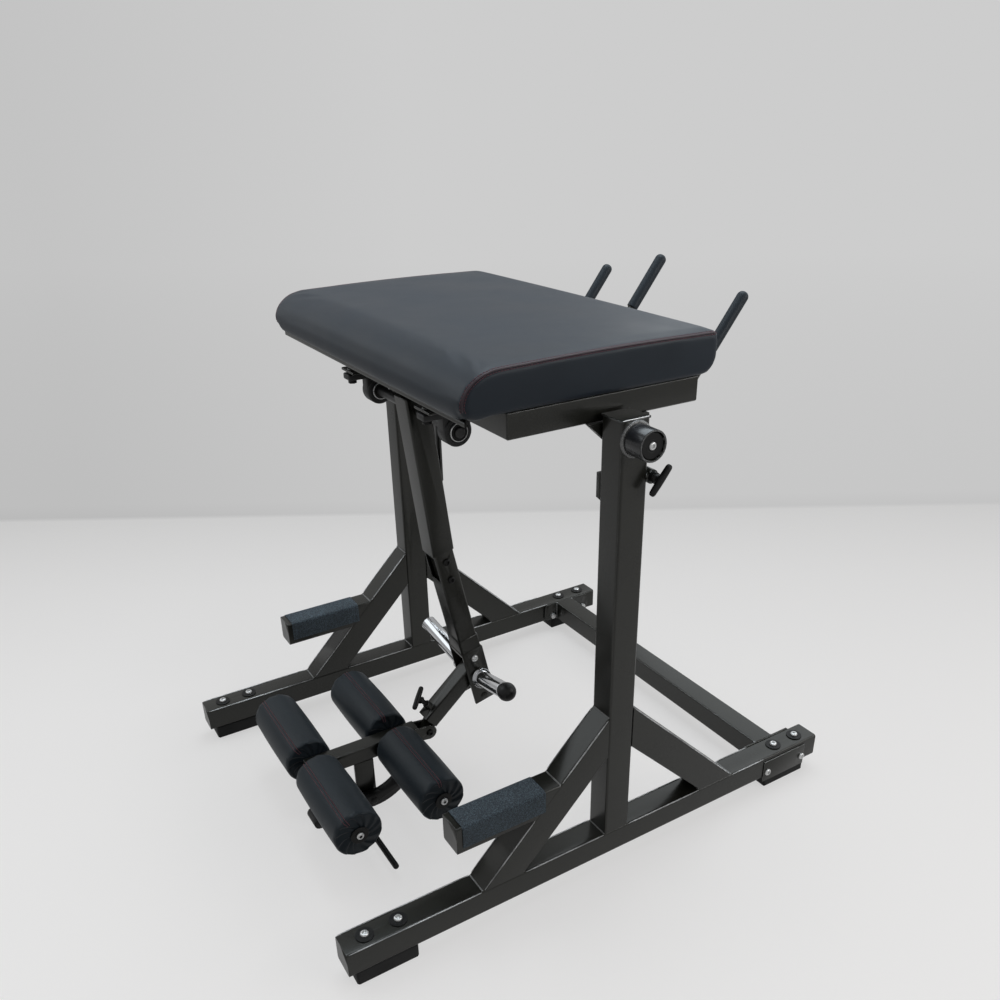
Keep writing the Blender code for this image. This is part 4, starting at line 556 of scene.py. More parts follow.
def tape_grit():
    """Anti-slip tape: coarse grains in a matte binder."""
    look = Surface("grip_tape_look")
    tone = look.cell_tone(600)
    slow = look.noise(12, 3)
    colour = look.blend(look.fit(tone, 0.35, 1.0, 0, 1), (0.046, 0.064, 0.080, 1), (0.21, 0.27, 0.32, 1))
    colour = look.blend(look.fit(slow, 0.35, 0.65, 0, 0.35), colour, (0.030, 0.040, 0.048, 1))
    height = look.math("ADD", look.fit(look.cells(600), 0, 0.6, 1, 0), look.times(tone, 0.8))
    return look.finish(colour, look.fit(tone, 0, 1, 0.55, 0.95), look.bump(height, 0.9, 0.0012))


def rubber(name, dark, light, rough=(0.62, 0.78), grain=0.10):
    look = Surface(name, Specular_IOR_Level=0.35)
    slow = look.noise(30, 3)
    colour = look.blend(look.fit(look.noise(60, 4, 0.6), 0.60, 0.8, 0, 0.12), look.blend(slow, dark, light),
                        grey(0.08))
    return look.finish(colour, look.spread(slow, *rough),
                       look.bump(look.noise(1100, 3, 0.6), grain, 0.0005, look.rounded(0.0012)))


def chrome():
    """Plated steel with faint lengthwise handling marks."""
    look = Surface("chrome_look", Metallic=1.0)
    marks = look.noise(55, 4, 0.6, look.stretched((1, 12, 12)))
    colour = look.blend(look.noise(9, 3), (0.78, 0.78, 0.79, 1), (0.66, 0.67, 0.69, 1))
    return look.finish(colour, look.fit(marks, 0.35, 0.7, 0.07, 0.20), look.bump(marks, 0.03, 0.0004))


def zinc():
    """Bright zinc plate with a dull mottling."""
    look = Surface("zinc_look", Metallic=0.9)
    spangle = look.noise(240, 3, 0.6)
    colour = look.blend(spangle, (0.86, 0.86, 0.84, 1), (0.66, 0.67, 0.68, 1))
    return look.finish(colour, look.spread(spangle, 0.24, 0.40), look.bump(spangle, 0.06, 0.0004))


def black_steel(name="black_steel_look", low=0.010, high=0.020):
    """Black oxide steel with bare metal showing along its edges."""
    look = Surface(name, Metallic=0.55)
    slow = look.noise(60, 3)
    scuffs = look.noise(220, 4, 0.7)
    base = look.blend(slow, grey(low), grey(high, (1.0, 0.99, 0.97)))
    worn = look.times(look.edge(0.0008), look.fit(scuffs, 0.4, 0.7, 0.0, 0.8))
    return look.finish(look.blend(worn, base, grey(0.22)), look.spread(slow, 0.34, 0.48),
                       look.bump(scuffs, 0.08, 0.0005, look.rounded(0.0006)))


def cast_iron():
    """Painted casting with a sandy skin."""
    look = Surface("bearing_iron_look", Metallic=0.2, Coat_Weight=0.15, Coat_Roughness=0.3)
    sand = look.noise(420, 4, 0.65)
    base = look.blend(look.noise(40, 2), grey(0.012), grey(0.024))
    worn = look.times(look.edge(0.001), look.fit(sand, 0.45, 0.7, 0.0, 0.6))
    return look.finish(look.blend(worn, base, grey(0.16)), look.spread(sand, 0.40, 0.60),
                       look.bump(sand, 0.30, 0.0007, look.rounded(0.001)))


# Pad

def pad_outline(spacing, beside_board):
    """The pad seen from the side as evenly spaced (y, z) places, from its front foot."""
    corners = []

    def turn(centre, radius_y, radius_z, start, end, steps):
        for angle in arc(start, end, steps):
            corners.append((centre[0] + radius_y * math.cos(angle), centre[1] + radius_z * math.sin(angle)))

    foot_z = PAD_BOTTOM + PAD_FRONT_RISE
    drop = 0.0045 if beside_board else 0.0
    if beside_board:
        corners.append((PAD_FRONT_Y + 0.066, PAD_BOTTOM - drop))
        turn((PAD_FRONT_Y + 0.036, foot_z), 0.036, PAD_FRONT_RISE + 0.007, 270, 180, 14)
    else:
        corners.append((BOARD_FRONT_Y - 0.0008, PAD_BOTTOM))
        turn((PAD_FRONT_Y + 0.013, PAD_BOTTOM + 0.013), 0.013, 0.020, 270, 180, 14)
    nose_y = PAD_FRONT_Y + PAD_NOSE_LENGTH
    turn((nose_y, foot_z), PAD_NOSE_LENGTH, PAD_TOP - foot_z, 180, 90, 28)
    top_run = PAD_REAR_Y - PAD_REAR_ROUND - nose_y
    for step in range(1, 40):
        share = step / 40
        corners.append((nose_y + top_run * share, PAD_TOP + PAD_CROWN * math.sin(math.pi * share)))
    turn((PAD_REAR_Y - PAD_REAR_ROUND, PAD_TOP - PAD_REAR_ROUND), PAD_REAR_ROUND, PAD_REAR_ROUND, 90, 0, 8)
    along, up = PAD_REAR_FOOT
    turn((PAD_REAR_Y - along, PAD_BOTTOM + up), along, up + drop, 0, -90, 14)
    corners.append(corners[0])
    return evened(corners, round(PAD_GIRTH / spacing))


def evened(corners, count):
    """The same line as a count of evenly spaced places."""
    lengths = [math.dist(first, second) for first, second in zip(corners, corners[1:])]
    gap = sum(lengths) / count
    places = []
    number = 0
    start = 0.0
    for step in range(count):
        while start + lengths[number] < gap * step:
            start += lengths[number]
            number += 1
        share = (gap * step - start) / lengths[number]
        (y, z), (next_y, next_z) = corners[number:number + 2]
        places.append((y + (next_y - y) * share, z + (next_z - z) * share))
    return places


def pad_ring(x, inset, spacing=0.006, crown=0.0):
    """The outline at one place across the pad, drawn in by an inset."""
    outline = pad_outline(spacing, abs(x) > BOARD_HALF_WIDTH + 0.001)
    count = len(outline)
    middle_z = (PAD_BOTTOM + PAD_TOP) / 2
    ring = []
    for number, (y, z) in enumerate(outline):
        before = outline[number - 1]
        after = outline[(number + 1) % count]
        run = Vector((after[0] - before[0], after[1] - before[1])).normalized()
        lift = crown if z > middle_z else 0.0
        ring.append(place(x, y + run.y * inset, z - run.x * inset + lift))
    return ring


def pad_body():
    """The closed cushion before it is filled: rounded side edges and a crowned top."""
    edge = 0.009
    inner = PAD_HALF_WIDTH - edge
    ends = [(inner + edge * math.sin(angle), edge * (1 - math.cos(angle))) for angle in arc(0, 90, 6)]
    rows = [(inner * step / 60, 0.0) for step in range(-59, 60)]
    rows += ends + [(-x, inset) for x, inset in ends]
    return skin([pad_ring(x, inset, crown=PAD_CROWN * (1 - (x / PAD_HALF_WIDTH) ** 2))
                 for x, inset in sorted(rows)])


def inflate(item, held):
    """Fills a closed cushion with the Cloth solver, then limits how far any point has moved."""
    before = [vertex.co.copy() for vertex in item.data.vertices]
    group = item.vertex_groups.new(name="held")
    group.add([vertex.index for vertex in item.data.vertices if held(vertex.co)], 1.0, "REPLACE")
    cloth = item.modifiers.new("fill", "CLOTH")
    for key, value in CLOTH.items():
        setattr(cloth.settings, key, value)
    cloth.settings.effector_weights.gravity = 0
    cloth.collision_settings.use_collision = False
    cloth.point_cache.frame_start = 1
    cloth.point_cache.frame_end = FILL_FRAMES
    for frame_number in range(1, FILL_FRAMES + 1):
        bpy.context.scene.frame_set(frame_number)
    shaped = item.evaluated_get(bpy.context.evaluated_depsgraph_get())
    moved = [vertex.co.copy() for vertex in shaped.data.vertices]
    item.modifiers.remove(cloth)
    bpy.context.scene.frame_set(1)
    for vertex, start, end in zip(item.data.vertices, before, moved):
        step = end - start
        if step.length > FILL_CAP:
            step *= FILL_CAP / step.length
        vertex.co = start + step
    item.vertex_groups.clear()


def relax(item, rounds):
    smooth = item.modifiers.new("relax", "SMOOTH")
    smooth.factor = 0.5
    smooth.iterations = rounds


def baked(item):
    """Replaces the mesh with the result of its modifiers."""
    shaped = item.evaluated_get(bpy.context.evaluated_depsgraph_get())
    mesh = bpy.data.meshes.new_from_object(shaped)
    item.modifiers.clear()
    item.data = mesh


def make_pad(skin_look, seam_highlight_look, stitch_look):
    item = new_object("pad_cushion", *pad_body())
    even = item.modifiers.new("even", "REMESH")
    even.mode = "VOXEL"
    even.voxel_size = 0.006
    even.use_smooth_shade = True
    relax(item, 4)
    baked(item)
    seam_x = PAD_HALF_WIDTH - 0.004

    def held(spot):
        return spot.z < PAD_BOTTOM + 0.012 or abs(abs(spot.x) - seam_x) < 0.004

    inflate(item, held)
    relax(item, 5)
    item.modifiers.new("fine", "SUBSURF").levels = 1
    baked(item)
    item.data.shade_smooth()
    item.data.materials.clear()
    item.data.materials.append(skin_look)
    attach(item, "pad_carrier")
    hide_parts("pad")
    tree = BVHTree.FromObject(item, bpy.context.evaluated_depsgraph_get())
    welts = []
    threads = []
    for _, side in SIDES:
        path = over_the_top(pad_ring(side * (PAD_HALF_WIDTH - 0.003), 0.003))
        # Welts along the side seams, lighter than the pad as a painted highlight
        welts.append(sweep(settled(tree, path, 0.0), 0.0024, 8))
        for x, inset in ((PAD_HALF_WIDTH - 0.0065, 0.0), (PAD_HALF_WIDTH, 0.0065)):
            line = settled(tree, over_the_top(pad_ring(side * x, inset, 0.003)), LIFT)
            for start, end in zip(line[:-1:2], line[1::2]):
                if (end - start).length > 0.0012:
                    threads.append(stitch(start, start.lerp(end, 1.25), 0.0008))
    piece("pad_seams", "pad_carrier", "pad_vinyl", (joined(*welts), seam_highlight_look),
          (joined(*threads), stitch_look))


def over_the_top(ring):
    """The part of a pad ring from the nose's foot to the top of the rear face."""
    middle = place(0, (PAD_FRONT_Y + PAD_REAR_Y) / 2, 0).y
    return [spot for spot in ring[4:]
            if spot.z > PAD_BOTTOM + 0.010 and (spot.y < middle or spot.z > PAD_TOP - 0.008)]


def settled(tree, path, lift):
    """The same path moved onto a surface, and lifted off it a little."""
    result = []
    for spot in path:
        found, normal, _, _ = tree.find_nearest(spot)
        result.append(found + normal * lift if found else spot)
    return result


# Rollers

def pleat(angle, shift):
    """Height of the gathered folds at an angle: each climbs slowly and drops over its edge."""
    count = len(PLEAT_JITTER)
    turn = (angle / (2 * math.pi) * count + shift) % count
    number = int(turn)
    share = turn - number
    start = PLEAT_JITTER[number]
    end = 1 + PLEAT_JITTER[(number + 1) % count]
    share = (share - start) / (end - start)
    if share < 0:
        number = number - 1
        share += 1
    if share >= 1:
        number = number + 1
        share -= 1
    depth = PLEAT_DEPTH[number % count]
    rise = min(share / 0.82, 1.0)
    drop = max((share - 0.82) / 0.18, 0.0)
    return depth * (rise * rise * (3 - 2 * rise)) * (1 - drop * drop * (3 - 2 * drop))


def roller_skin(end_name, side):
    """The foam roller's cover, its gathered ends and the seam along it."""
    length = ROLLER_OUTER_X - ROLLER_INNER_X
    start = place(side * ROLLER_INNER_X, ROLLER_Y[end_name], BEAM_Z)
    seam = math.radians(STITCH_ANGLE[end_name])
    flat = ROLLER_RADIUS - SHOULDER
    half = []
    for step in range(17):
        share = step / 16
        half.append((LIFT, 0.0105 + (flat - 0.0105) * share,
                     FOLD_DEPTH * min(share * 3, 1) * (0.65 + 0.35 * share)))
    for step, angle in enumerate(arc(0, 90, 10)[1:], 1):
        half.append((LIFT + SHOULDER * (1 - math.cos(angle)), flat + SHOULDER * math.sin(angle),
                     FOLD_DEPTH * (1 - step / 10) ** 1.2))
    for step in range(1, 13):
        share = step / 12
        half.append((SHOULDER + (length / 2 - SHOULDER) * share,
                     ROLLER_RADIUS + FOAM_CROWN * math.sin(math.pi / 2 * share), 0.0))
    rings = []
    for distance, radius, fold in half + [(length - a, r, -fold) for a, r, fold in reversed(half[:-1])]:
        ring = []
        for angle in circle(192):
            hollow = 1 - pleat(angle + (0.050 - radius) * 14, 0.0 if fold >= 0 else 5.4)
            shrink = 0.0
            if radius > 0.040:
                apart = math.atan2(math.sin(angle - seam), math.cos(angle - seam)) * radius
                shrink = 0.0008 * math.exp(-(apart / 0.0022) ** 2) + 0.0005 * math.exp(-(apart / 0.009) ** 2)
                if fold:
                    shrink += 0.0011 * hollow * (radius - 0.040) / 0.0155
            outwards = X * side * (distance + fold * hollow)
            ring.append(start + outwards + around(Y, Z, angle) * (radius - shrink))
        rings.append(ring)
    if side < 0:
        rings = [list(reversed(ring)) for ring in rings]
    return skin(rings)


def roller_stitches(end_name, side):
    """Two rows of stitches, one each side of the seam, round both shoulders."""
    length = ROLLER_OUTER_X - ROLLER_INNER_X
    seam = math.radians(STITCH_ANGLE[end_name])
    start = place(side * ROLLER_INNER_X, ROLLER_Y[end_name], BEAM_Z)
    flat = ROLLER_RADIUS - SHOULDER
    profile = [(2 * LIFT, 0.037 + (flat - 0.037) * step / 7) for step in range(8)]
    for angle in arc(0, 90, 12)[1:]:
        profile.append((2 * LIFT + SHOULDER * (1 - math.cos(angle)), flat + SHOULDER * math.sin(angle)))
    for step in range(1, 100):
        share = step / 100
        profile.append((SHOULDER + (length - 2 * SHOULDER) * share,
                        ROLLER_RADIUS + FOAM_CROWN * math.sin(math.pi * share)))
    profile += [(length - a, r) for a, r in reversed(profile[:20])]
    runs = [0.0]
    for before, after in zip(profile, profile[1:]):
        runs.append(runs[-1] + math.dist(before, after))

    def at(run, way):
        index = 0
        while index < len(runs) - 2 and runs[index + 1] < run:
            index += 1
        share = (run - runs[index]) / (runs[index + 1] - runs[index])
        (low, low_radius), (high, high_radius) = profile[index:index + 2]
        direction = around(Y, Z, seam + way * 0.0034 / ROLLER_RADIUS)
        return (start + X * side * (low + (high - low) * share)
                + direction * (low_radius + (high_radius - low_radius) * share - LIFT))

    shapes = []
    for way in (-1, 1):
        run = 0.001
        while run + 0.0036 < runs[-1]:
            shapes.append(stitch(at(run, way), at(run + 0.0040, way), 0.00075))
            run += 0.0046
    return joined(*shapes)


def make_rollers(skin_look, stitch_look):
    for end_name in ("front", "rear"):
        for word, side in SIDES:
            item = piece(f"{end_name}_{word}_roller_cover", f"{end_name}_{word}_roller", "pad_vinyl",
                         (roller_skin(end_name, side), skin_look),
                         (roller_stitches(end_name, side), stitch_look),
                         replaces=(f"roller_{end_name}_{word}",), angle=60)


# Fasteners

def make_rail_bolts(word, side, bright, black):
    for end_name, places in RAIL_BOLT_Y.items():
        washers = []
        heads = []
        for y in places:
            seat = place(side * RAIL_X, y, RAIL_TOP + 0.0003)
            washers.append(lathe([(0, 0.0186), (0.0004, 0.019), (0.0016, 0.019), (0.002, 0.0186),
                                  (0.002, 0.005)], seat, Z, 64))
            heads.append(bolt_head(seat + Z * 0.002, Z))
        piece(f"rail_bolt_heads_{end_name}_{word}", "floor_frame", "zinc", (joined(*heads), bright),
              (joined(*washers), black), replaces=(f"rail_bolts_{end_name}_{word}",))


def make_crossbar_bolts(word, side, bright, plate_look):
    """The flange bolts' heads and nuts, and the clamp plate under the heads."""
    axis = X * side
    for number, y in enumerate(FLANGE_BOLT_Y, 1):
        outer = place(side * (RAIL_OUTER_X + BOLT_PLATE), y, FLANGE_BOLT_Z)
        inner = place(side * (RAIL_INNER_X - 0.006), y, FLANGE_BOLT_Z)
        piece(f"crossbar_bolt_head_{number}_{word}", "floor_frame", "zinc",
              (joined(bolt_head(outer, axis), hex_nut(inner, -axis)), bright),
              replaces=(f"crossbar_bolt_{number}_{word}",))
    inner_x, outer_x = sorted((side * (RAIL_OUTER_X + LIFT), side * (RAIL_OUTER_X + BOLT_PLATE)))
    plate = rounded_block(place(inner_x, 1.111, 0.028), place(outer_x, 1.253, 0.088), 0.0009, 2)
    piece(f"crossbar_bolt_plate_{word}", "floor_frame", "frame_paint", (plate, plate_look))


def make_arm_bolts(bright, black):
    bolts = [(f"arm_bolt_{number}", distance, 0.030, "black_steel", black)
             for number, distance in enumerate(ARM_BOLT_AT, 1)]
    bolts.append(("cheek_bolt", CHEEK_BOLT_AT, CHEEK_X, "zinc", bright))
    for name, distance, x, slot, look in bolts:
        head = name.replace("bolt", "bolt_head")
        piece(head, "pendulum", slot, (bolt_head(on_lower_arm(distance, x=x), X), look),
              (hex_nut(on_lower_arm(distance, x=-x), -X), look), replaces=(name,))
    hinge = place(0, HEAD_Y, HEAD_Z)
    seat = hinge + X * 0.0185
    shank = lathe([(-0.037, 0.005), (0, 0.005)], seat, X, 24)
    piece("head_bolt_head", "roller_head", "black_steel",
          (joined(bolt_head(seat, X), shank, hex_nut(hinge - X * 0.0185, -X)), black),
          replaces=("head_bolt",))


# Hubs, pins, bearings, pegs and grips

def make_hubs(gloss, weld_look, bright, black):
    length = HUB_END_X - RAIL_OUTER_X
    r = HUB_RADIUS + LIFT
    lip = r - 0.0037
    groove = length - 0.0004
    rim = length + 0.0002
    for word, side in SIDES:
        axis = X * side
        root = place(side * RAIL_OUTER_X, UPRIGHT_Y, TILT_Z)
        sleeve = lathe([(0.0, r), (length - 0.0012, r), (groove, r - 0.0004), (rim, r - 0.0011),
                        (rim, r - 0.0016), (groove, r - 0.0019), (rim, r - 0.0023), (rim, lip + 0.0005),
                        (groove, lip), (length - HUB_RECESS, lip), (length - HUB_RECESS, lip - 0.001)],
                       root, axis, 96)
        seam = ring_path(root + axis * 0.0016, axis, HUB_RADIUS + 0.0015, 260)
        bead = sweep(seam, 0.0040, 10, True, 0.07, 0.0050)
        piece(f"hub_sleeve_{word}", "floor_frame", "frame_paint", (sleeve, gloss), (bead, weld_look))
        seat = root + axis * (length - HUB_RECESS + 0.0003)
        disc_radius = HUB_RADIUS - 0.0052
        disc = lathe([(0, disc_radius), (0.0040, disc_radius), (0.0050, disc_radius - 0.0012),
                      (0.0050, 0.012), (0.0046, 0.0115), (0.0046, 0.004)], seat, axis, 96)
        head = bolt_head(seat + axis * 0.0040, axis, radius=0.0078, height=0.0038)
        piece(f"hub_cap_disc_{word}", "pad_carrier", "black_steel", (disc, black), (head, bright),
              replaces=(f"hub_cap_{word}",))


def pull_pin(tip, axis, stem, bar_axis, bar_length, radius, skirt=False):
    """A pull pin with a flared neck and a handle that is thickest in its middle."""
    profile = [(0, 0.0042), (0.0018, PIN_RADIUS), (stem - 0.0136, PIN_RADIUS)]
    if skirt:
        profile += [(stem - 0.0136, 0.0103), (stem - 0.0234, 0.0103), (stem - 0.0236, 0.0106),
                    (stem - 0.0230, 0.0113), (stem - 0.0135, 0.0108)]
    profile += [(stem - 0.0134, 0.0092), (stem - 0.0120, 0.0094), (stem - 0.0095, 0.0078),
                (stem - 0.0060, 0.0068), (stem, 0.0070)]
    neck = lathe(profile, tip, axis, 40)
    half = bar_length / 2
    profile = [(radius * (1 - math.cos(angle)) - half, radius * (0.30 + 0.62 * math.sin(angle)))
               for angle in arc(0, 90, 8)]
    for step in range(1, 12):
        share = step / 12
        profile.append((-half + radius + (bar_length - 2 * radius) * share,
                        radius * (0.92 + 0.08 * math.sin(math.pi * share))))
    profile += [(-a, r) for a, r in reversed(profile[:9])]
    return joined(neck, lathe(profile, tip + axis * stem, bar_axis, 40))


def make_pins(black):
    tip = place(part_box("tilt_pin")[0].x, PIN_Y, PIN_Z)
    stem = RAIL_OUTER_X + 0.024 - tip.x
    bar_axis = around(Y, Z, PIN_HANDLE_TILT)
    piece("tilt_pin_handle", "tilt_pull_pin", "black_steel",
          (pull_pin(tip, X, stem, bar_axis, 0.067, 0.0070, skirt=True), black), replaces=("tilt_pin",))
    face = place(0, LINK_Y, LINK_Z) + LINK_UP * (LINK_DEPTH / 2)
    foot = face + LINK_AXIS * ((place(0, LINK_PIN_Y, 0).y - face.y) / LINK_AXIS.y)
    tip = foot - LINK_UP * LINK_PIN_INSIDE
    stem = LINK_PIN_INSIDE + LINK_PIN_STANDOFF
    bar_axis = around(LINK_AXIS, X, LINK_PIN_TURN)
    piece("link_pin_handle", "link_pull_pin", "black_steel",
          (pull_pin(tip, LINK_UP, stem, bar_axis, 0.062, 0.0068), black), replaces=("link_pin",))


def make_bearings(iron, bright, black):
    for word, side in SIDES:
        x = side * BEARING_X
        centre = place(x, SHAFT_Y, SHAFT_Z)
        body = lathe([(-0.017, 0.0225), (-0.017, 0.0280), (-0.0162, 0.0298), (-0.0145, 0.0308),
                      (0.0145, 0.0308), (0.0162, 0.0298), (0.017, 0.0280), (0.017, 0.0225),
                      (0.014, 0.0215)], centre, X, 96)
        foot = rounded_block(place(x - 0.017, SHAFT_Y - 0.0735, BEARING_FACE_Z - 0.014),
                             place(x + 0.017, SHAFT_Y + 0.0735, BEARING_FACE_Z), 0.0035)
        cheek = rounded_block(place(x - 0.0136, SHAFT_Y - 0.0305, SHAFT_Z + 0.002),
                              place(x + 0.0136, SHAFT_Y + 0.0305, BEARING_FACE_Z - 0.006), 0.003)
        nuts = [hex_nut(place(x, y, BEARING_FACE_Z - 0.0143), -Z) for y in BEARING_BOLT_Y]
        rims = []
        dark = []
        for axis in (X, -X):
            rims.append(lathe(BEARING_RIM, centre + axis * 0.0170, axis, 96))
            dark += [lathe(profile, centre + axis * distance, axis, 96)
                     for distance, profile in BEARING_RINGS]
        piece(f"bearing_{word}_detail", "pad_carrier", "bearing_iron", (joined(body, foot, cheek), iron),
              (joined(*rims), bright), (joined(*dark), black), (joined(*nuts), black),
              replaces=(f"bearing_housing_{word}",))


def peg_axis(side):
    flat = Vector((side * math.cos(PEG_SWEEP), -math.sin(PEG_SWEEP), 0))
    return flat * math.cos(PEG_RISE) + Z * math.sin(PEG_RISE)


def make_pegs(plated, ball_look):
    for word, side in SIDES:
        root = on_lower_arm(PEG_AT, x=side * CHEEK_X)
        axis = peg_axis(side)
        length = PEG_LENGTH[word]
        r = PEG_RADIUS
        profile = [(0.0045, r), (0.0112, r), (0.012, r + 0.0008), (0.012, 0.0244), (0.0126, 0.025),
                   (0.0194, 0.025), (0.020, 0.0244), (0.020, r + 0.0008), (0.0208, r), (length - 0.0022, r),
                   (length - 0.0008, r - 0.0006), (length, r - 0.0020), (length, 0.010),
                   (length - 0.0006, 0.0095), (length - 0.0006, 0.002)]
        collar = sweep(ring_path(root + axis * 0.0052, axis, r + 0.0004, 200), 0.0021, 8, True, 0.14)
        piece(f"weight_peg_{word}_detail", "pendulum", "chrome",
              (lathe(profile, root, axis, 96), plated), (collar, plated), replaces=(f"weight_peg_{word}",))
    seat = 0.013
    flat = math.sqrt(PEG_BALL ** 2 - seat ** 2)
    axis = peg_axis(1)
    centre = on_lower_arm(PEG_AT, x=CHEEK_X) + axis * (PEG_LENGTH["right"] + 0.0003 + flat)
    profile = [(-flat, seat * 0.5)]
    for angle in arc(math.degrees(math.asin(seat / PEG_BALL)), 180, 36):
        ridge = 0.00025 * math.exp(-((angle - math.pi / 2) / 0.03) ** 2)
        around_axis = (PEG_BALL + ridge - 0.00025) * math.sin(angle)
        profile.append((-PEG_BALL * math.cos(angle), max(around_axis, 0.0002)))
    piece("peg_ball_detail", "pendulum", "grip_rubber", (lathe(profile, centre, axis, 96), ball_look),
          replaces=("peg_ball",))


def make_grips(grip_look):
    length = GRIP_LENGTH + GRIP_TIP
    r = GRIP_RADIUS
    profile = [(0, r - 0.0030), (0, r - 0.0010), (0.0006, r - 0.0002), (0.0016, r)]
    profile += [(0.0016 + (length - 0.015) * step / 30, r) for step in range(1, 30)]
    for angle in arc(0, 90, 12):
        profile.append((length - 0.0125 + 0.0125 * math.sin(angle), max(r * math.cos(angle) ** 0.85, 0.0004)))
    for word, (foot, rod) in HAND_RODS.items():
        start = place(*foot) + GRIP_AXIS * (rod + 0.0003 - GRIP_LENGTH)
        piece(f"hand_grip_{word}_detail", "pad_carrier", "grip_rubber",
              (lathe(profile, start, GRIP_AXIS, 64), grip_look), replaces=(f"hand_grip_{word}",))


def make_axle_ends(black, bright):
    """A pressed washer and a domed head outside each roller, over the CAD axle's own."""
    for end_name in ("front", "rear"):
        shapes = []
        heads = []
        for _, side in SIDES:
            axis = X * side
            seat = place(side * (ROLLER_OUTER_X + 0.0001), ROLLER_Y[end_name], BEAM_Z)
            shapes.append(lathe([(0, 0.0200), (0.0010, 0.0205), (0.0030, 0.0205), (0.0035, 0.0200),
                                 (0.0035, 0.0080)], seat, axis, 72))
            heads.append(bolt_head(seat + axis * 0.0034, axis, radius=0.0085, height=0.0052))
        piece(f"roller_axle_ends_{end_name}", "roller_head", "black_steel", (joined(*shapes), black),
              (joined(*heads), bright))


# Welds, and the CAD's own pieces

def corners_round(middle, side, half_side, half_up):
    """A rectangle's corners in order, lying along one level direction and upwards."""
    return [middle + side * a * half_side + Z * b * half_up for a, b in ((-1, -1), (1, -1), (1, 1), (-1, 1))]


def weld_frame(weld_look, edge_highlight_look):
    """Fillet beads across the floor frame's tubes, and painted highlights, partly wear, along their upper
    edges.
    """
    slant = BRACE_DEPTH / math.sqrt(2)
    low_z = FOOTHOLD_TOP - FOOTHOLD_HEIGHT
    front_face = UPRIGHT_Y - UPRIGHT_HALF
    rear_face = UPRIGHT_Y + UPRIGHT_HALF
    front_rise = front_face - FRONT_BRACE_Y
    rear_rise = REAR_BRACE_Y - rear_face
    lines = []
    for middle, half in ((UPRIGHT_Y, UPRIGHT_HALF), (FRONT_BRACE_Y, slant), (REAR_BRACE_Y, slant)):
        lines += [(middle - half, RAIL_TOP), (middle + half, RAIL_TOP)]
    for face_y, rise in ((front_face, front_rise), (rear_face, rear_rise)):
        lines += [(face_y, RAIL_TOP + rise - slant), (face_y, RAIL_TOP + rise + slant)]
    lines += [(FRONT_BRACE_Y + z - RAIL_TOP - slant, z) for z in (low_z, FOOTHOLD_TOP)]
    runs = [((0.004, RAIL_TOP), (FRONT_BRACE_Y - slant - 0.003, RAIL_TOP)),
            ((FRONT_BRACE_Y + slant + 0.003, RAIL_TOP), (front_face - 0.003, RAIL_TOP)),
            ((rear_face + 0.003, RAIL_TOP), (REAR_BRACE_Y - slant - 0.003, RAIL_TOP)),
            ((REAR_BRACE_Y + slant + 0.003, RAIL_TOP), (1.108, RAIL_TOP)),
            ((FRONT_BRACE_Y - slant + 0.004, RAIL_TOP + 0.004),
             (FRONT_BRACE_Y + low_z - RAIL_TOP - slant, low_z)),
            ((FRONT_BRACE_Y + FOOTHOLD_TOP - RAIL_TOP - slant + 0.004, FOOTHOLD_TOP + 0.004),
             (front_face - 0.004, RAIL_TOP + front_rise + slant - 0.004)),
            ((rear_face + 0.004, RAIL_TOP + rear_rise + slant - 0.004),
             (REAR_BRACE_Y + slant - 0.004, RAIL_TOP + 0.004))]
    beads = []
    edges = []
    for _, side in SIDES:
        for y, z in lines:
            ends = [place(side * RAIL_X + x, y, z) for x in (-0.0275, 0.0275)]
            beads.append(weld(ends, 0.0019, False))
        face = place(side * (RAIL_INNER_X - 0.0063), CROSSBAR_Y, CROSSBAR_Z)
        beads.append(weld(corners_round(face, Y, 0.0295, 0.0275), 0.0022))
        # Thin bright lines along the tubes' upper corners: painted highlights, partly wear
        for x in (RAIL_INNER_X + CORNER_IN, RAIL_OUTER_X - CORNER_IN):
            for (start_y, start_z), (end_y, end_z) in runs:
                lean = (end_z - start_z) / math.hypot(end_y - start_y, end_z - start_z)
                flat = math.sqrt(1 - lean * lean)
                start, end = [place(side * x, y + CORNER_IN * lean, z - CORNER_IN * flat)
                              for y, z in ((start_y, start_z), (end_y, end_z))]
                edges.append(sweep(between(start, end, 0.02), 0.0013, 8))
        # A painted highlight along the upright's top outer edge, under its cap
        start, end = [place(side * (RAIL_OUTER_X + LIFT), UPRIGHT_Y + y, UPRIGHT_TOP - 0.0006)
                      for y in (-0.0305, 0.0305)]
        edges.append(sweep(between(start, end, 0.004), 0.0011, 8))
    piece("floor_frame_welds", "floor_frame", "frame_paint", (joined(*beads), weld_look),
          (joined(*edges), edge_highlight_look))


def weld_carrier(weld_look):
    """Beads round the hand rods' feet, the sloping beam and the bearing plates."""
    beads = [weld(corners_round(place(0, PAD_FRAME_REAR_Y, HANDLE_BEAM_Z), X, 0.0195, 0.0195))]
    for word in ("left", "right"):
        foot = place(*HAND_RODS[word][0]) + GRIP_AXIS * 0.0155
        beads.append(sweep(ring_path(foot, GRIP_AXIS, 0.0108, 120), 0.0018, 8, True, 0.14))
    for _, side in SIDES:
        ends = [place(side * BEARING_X + x, 0.4235, 1.0300) for x in (-0.031, 0.031)]
        beads.append(weld(ends, 0.0020, False))
    piece("pad_carrier_welds", "pad_carrier", "frame_paint", (joined(*beads), weld_look))


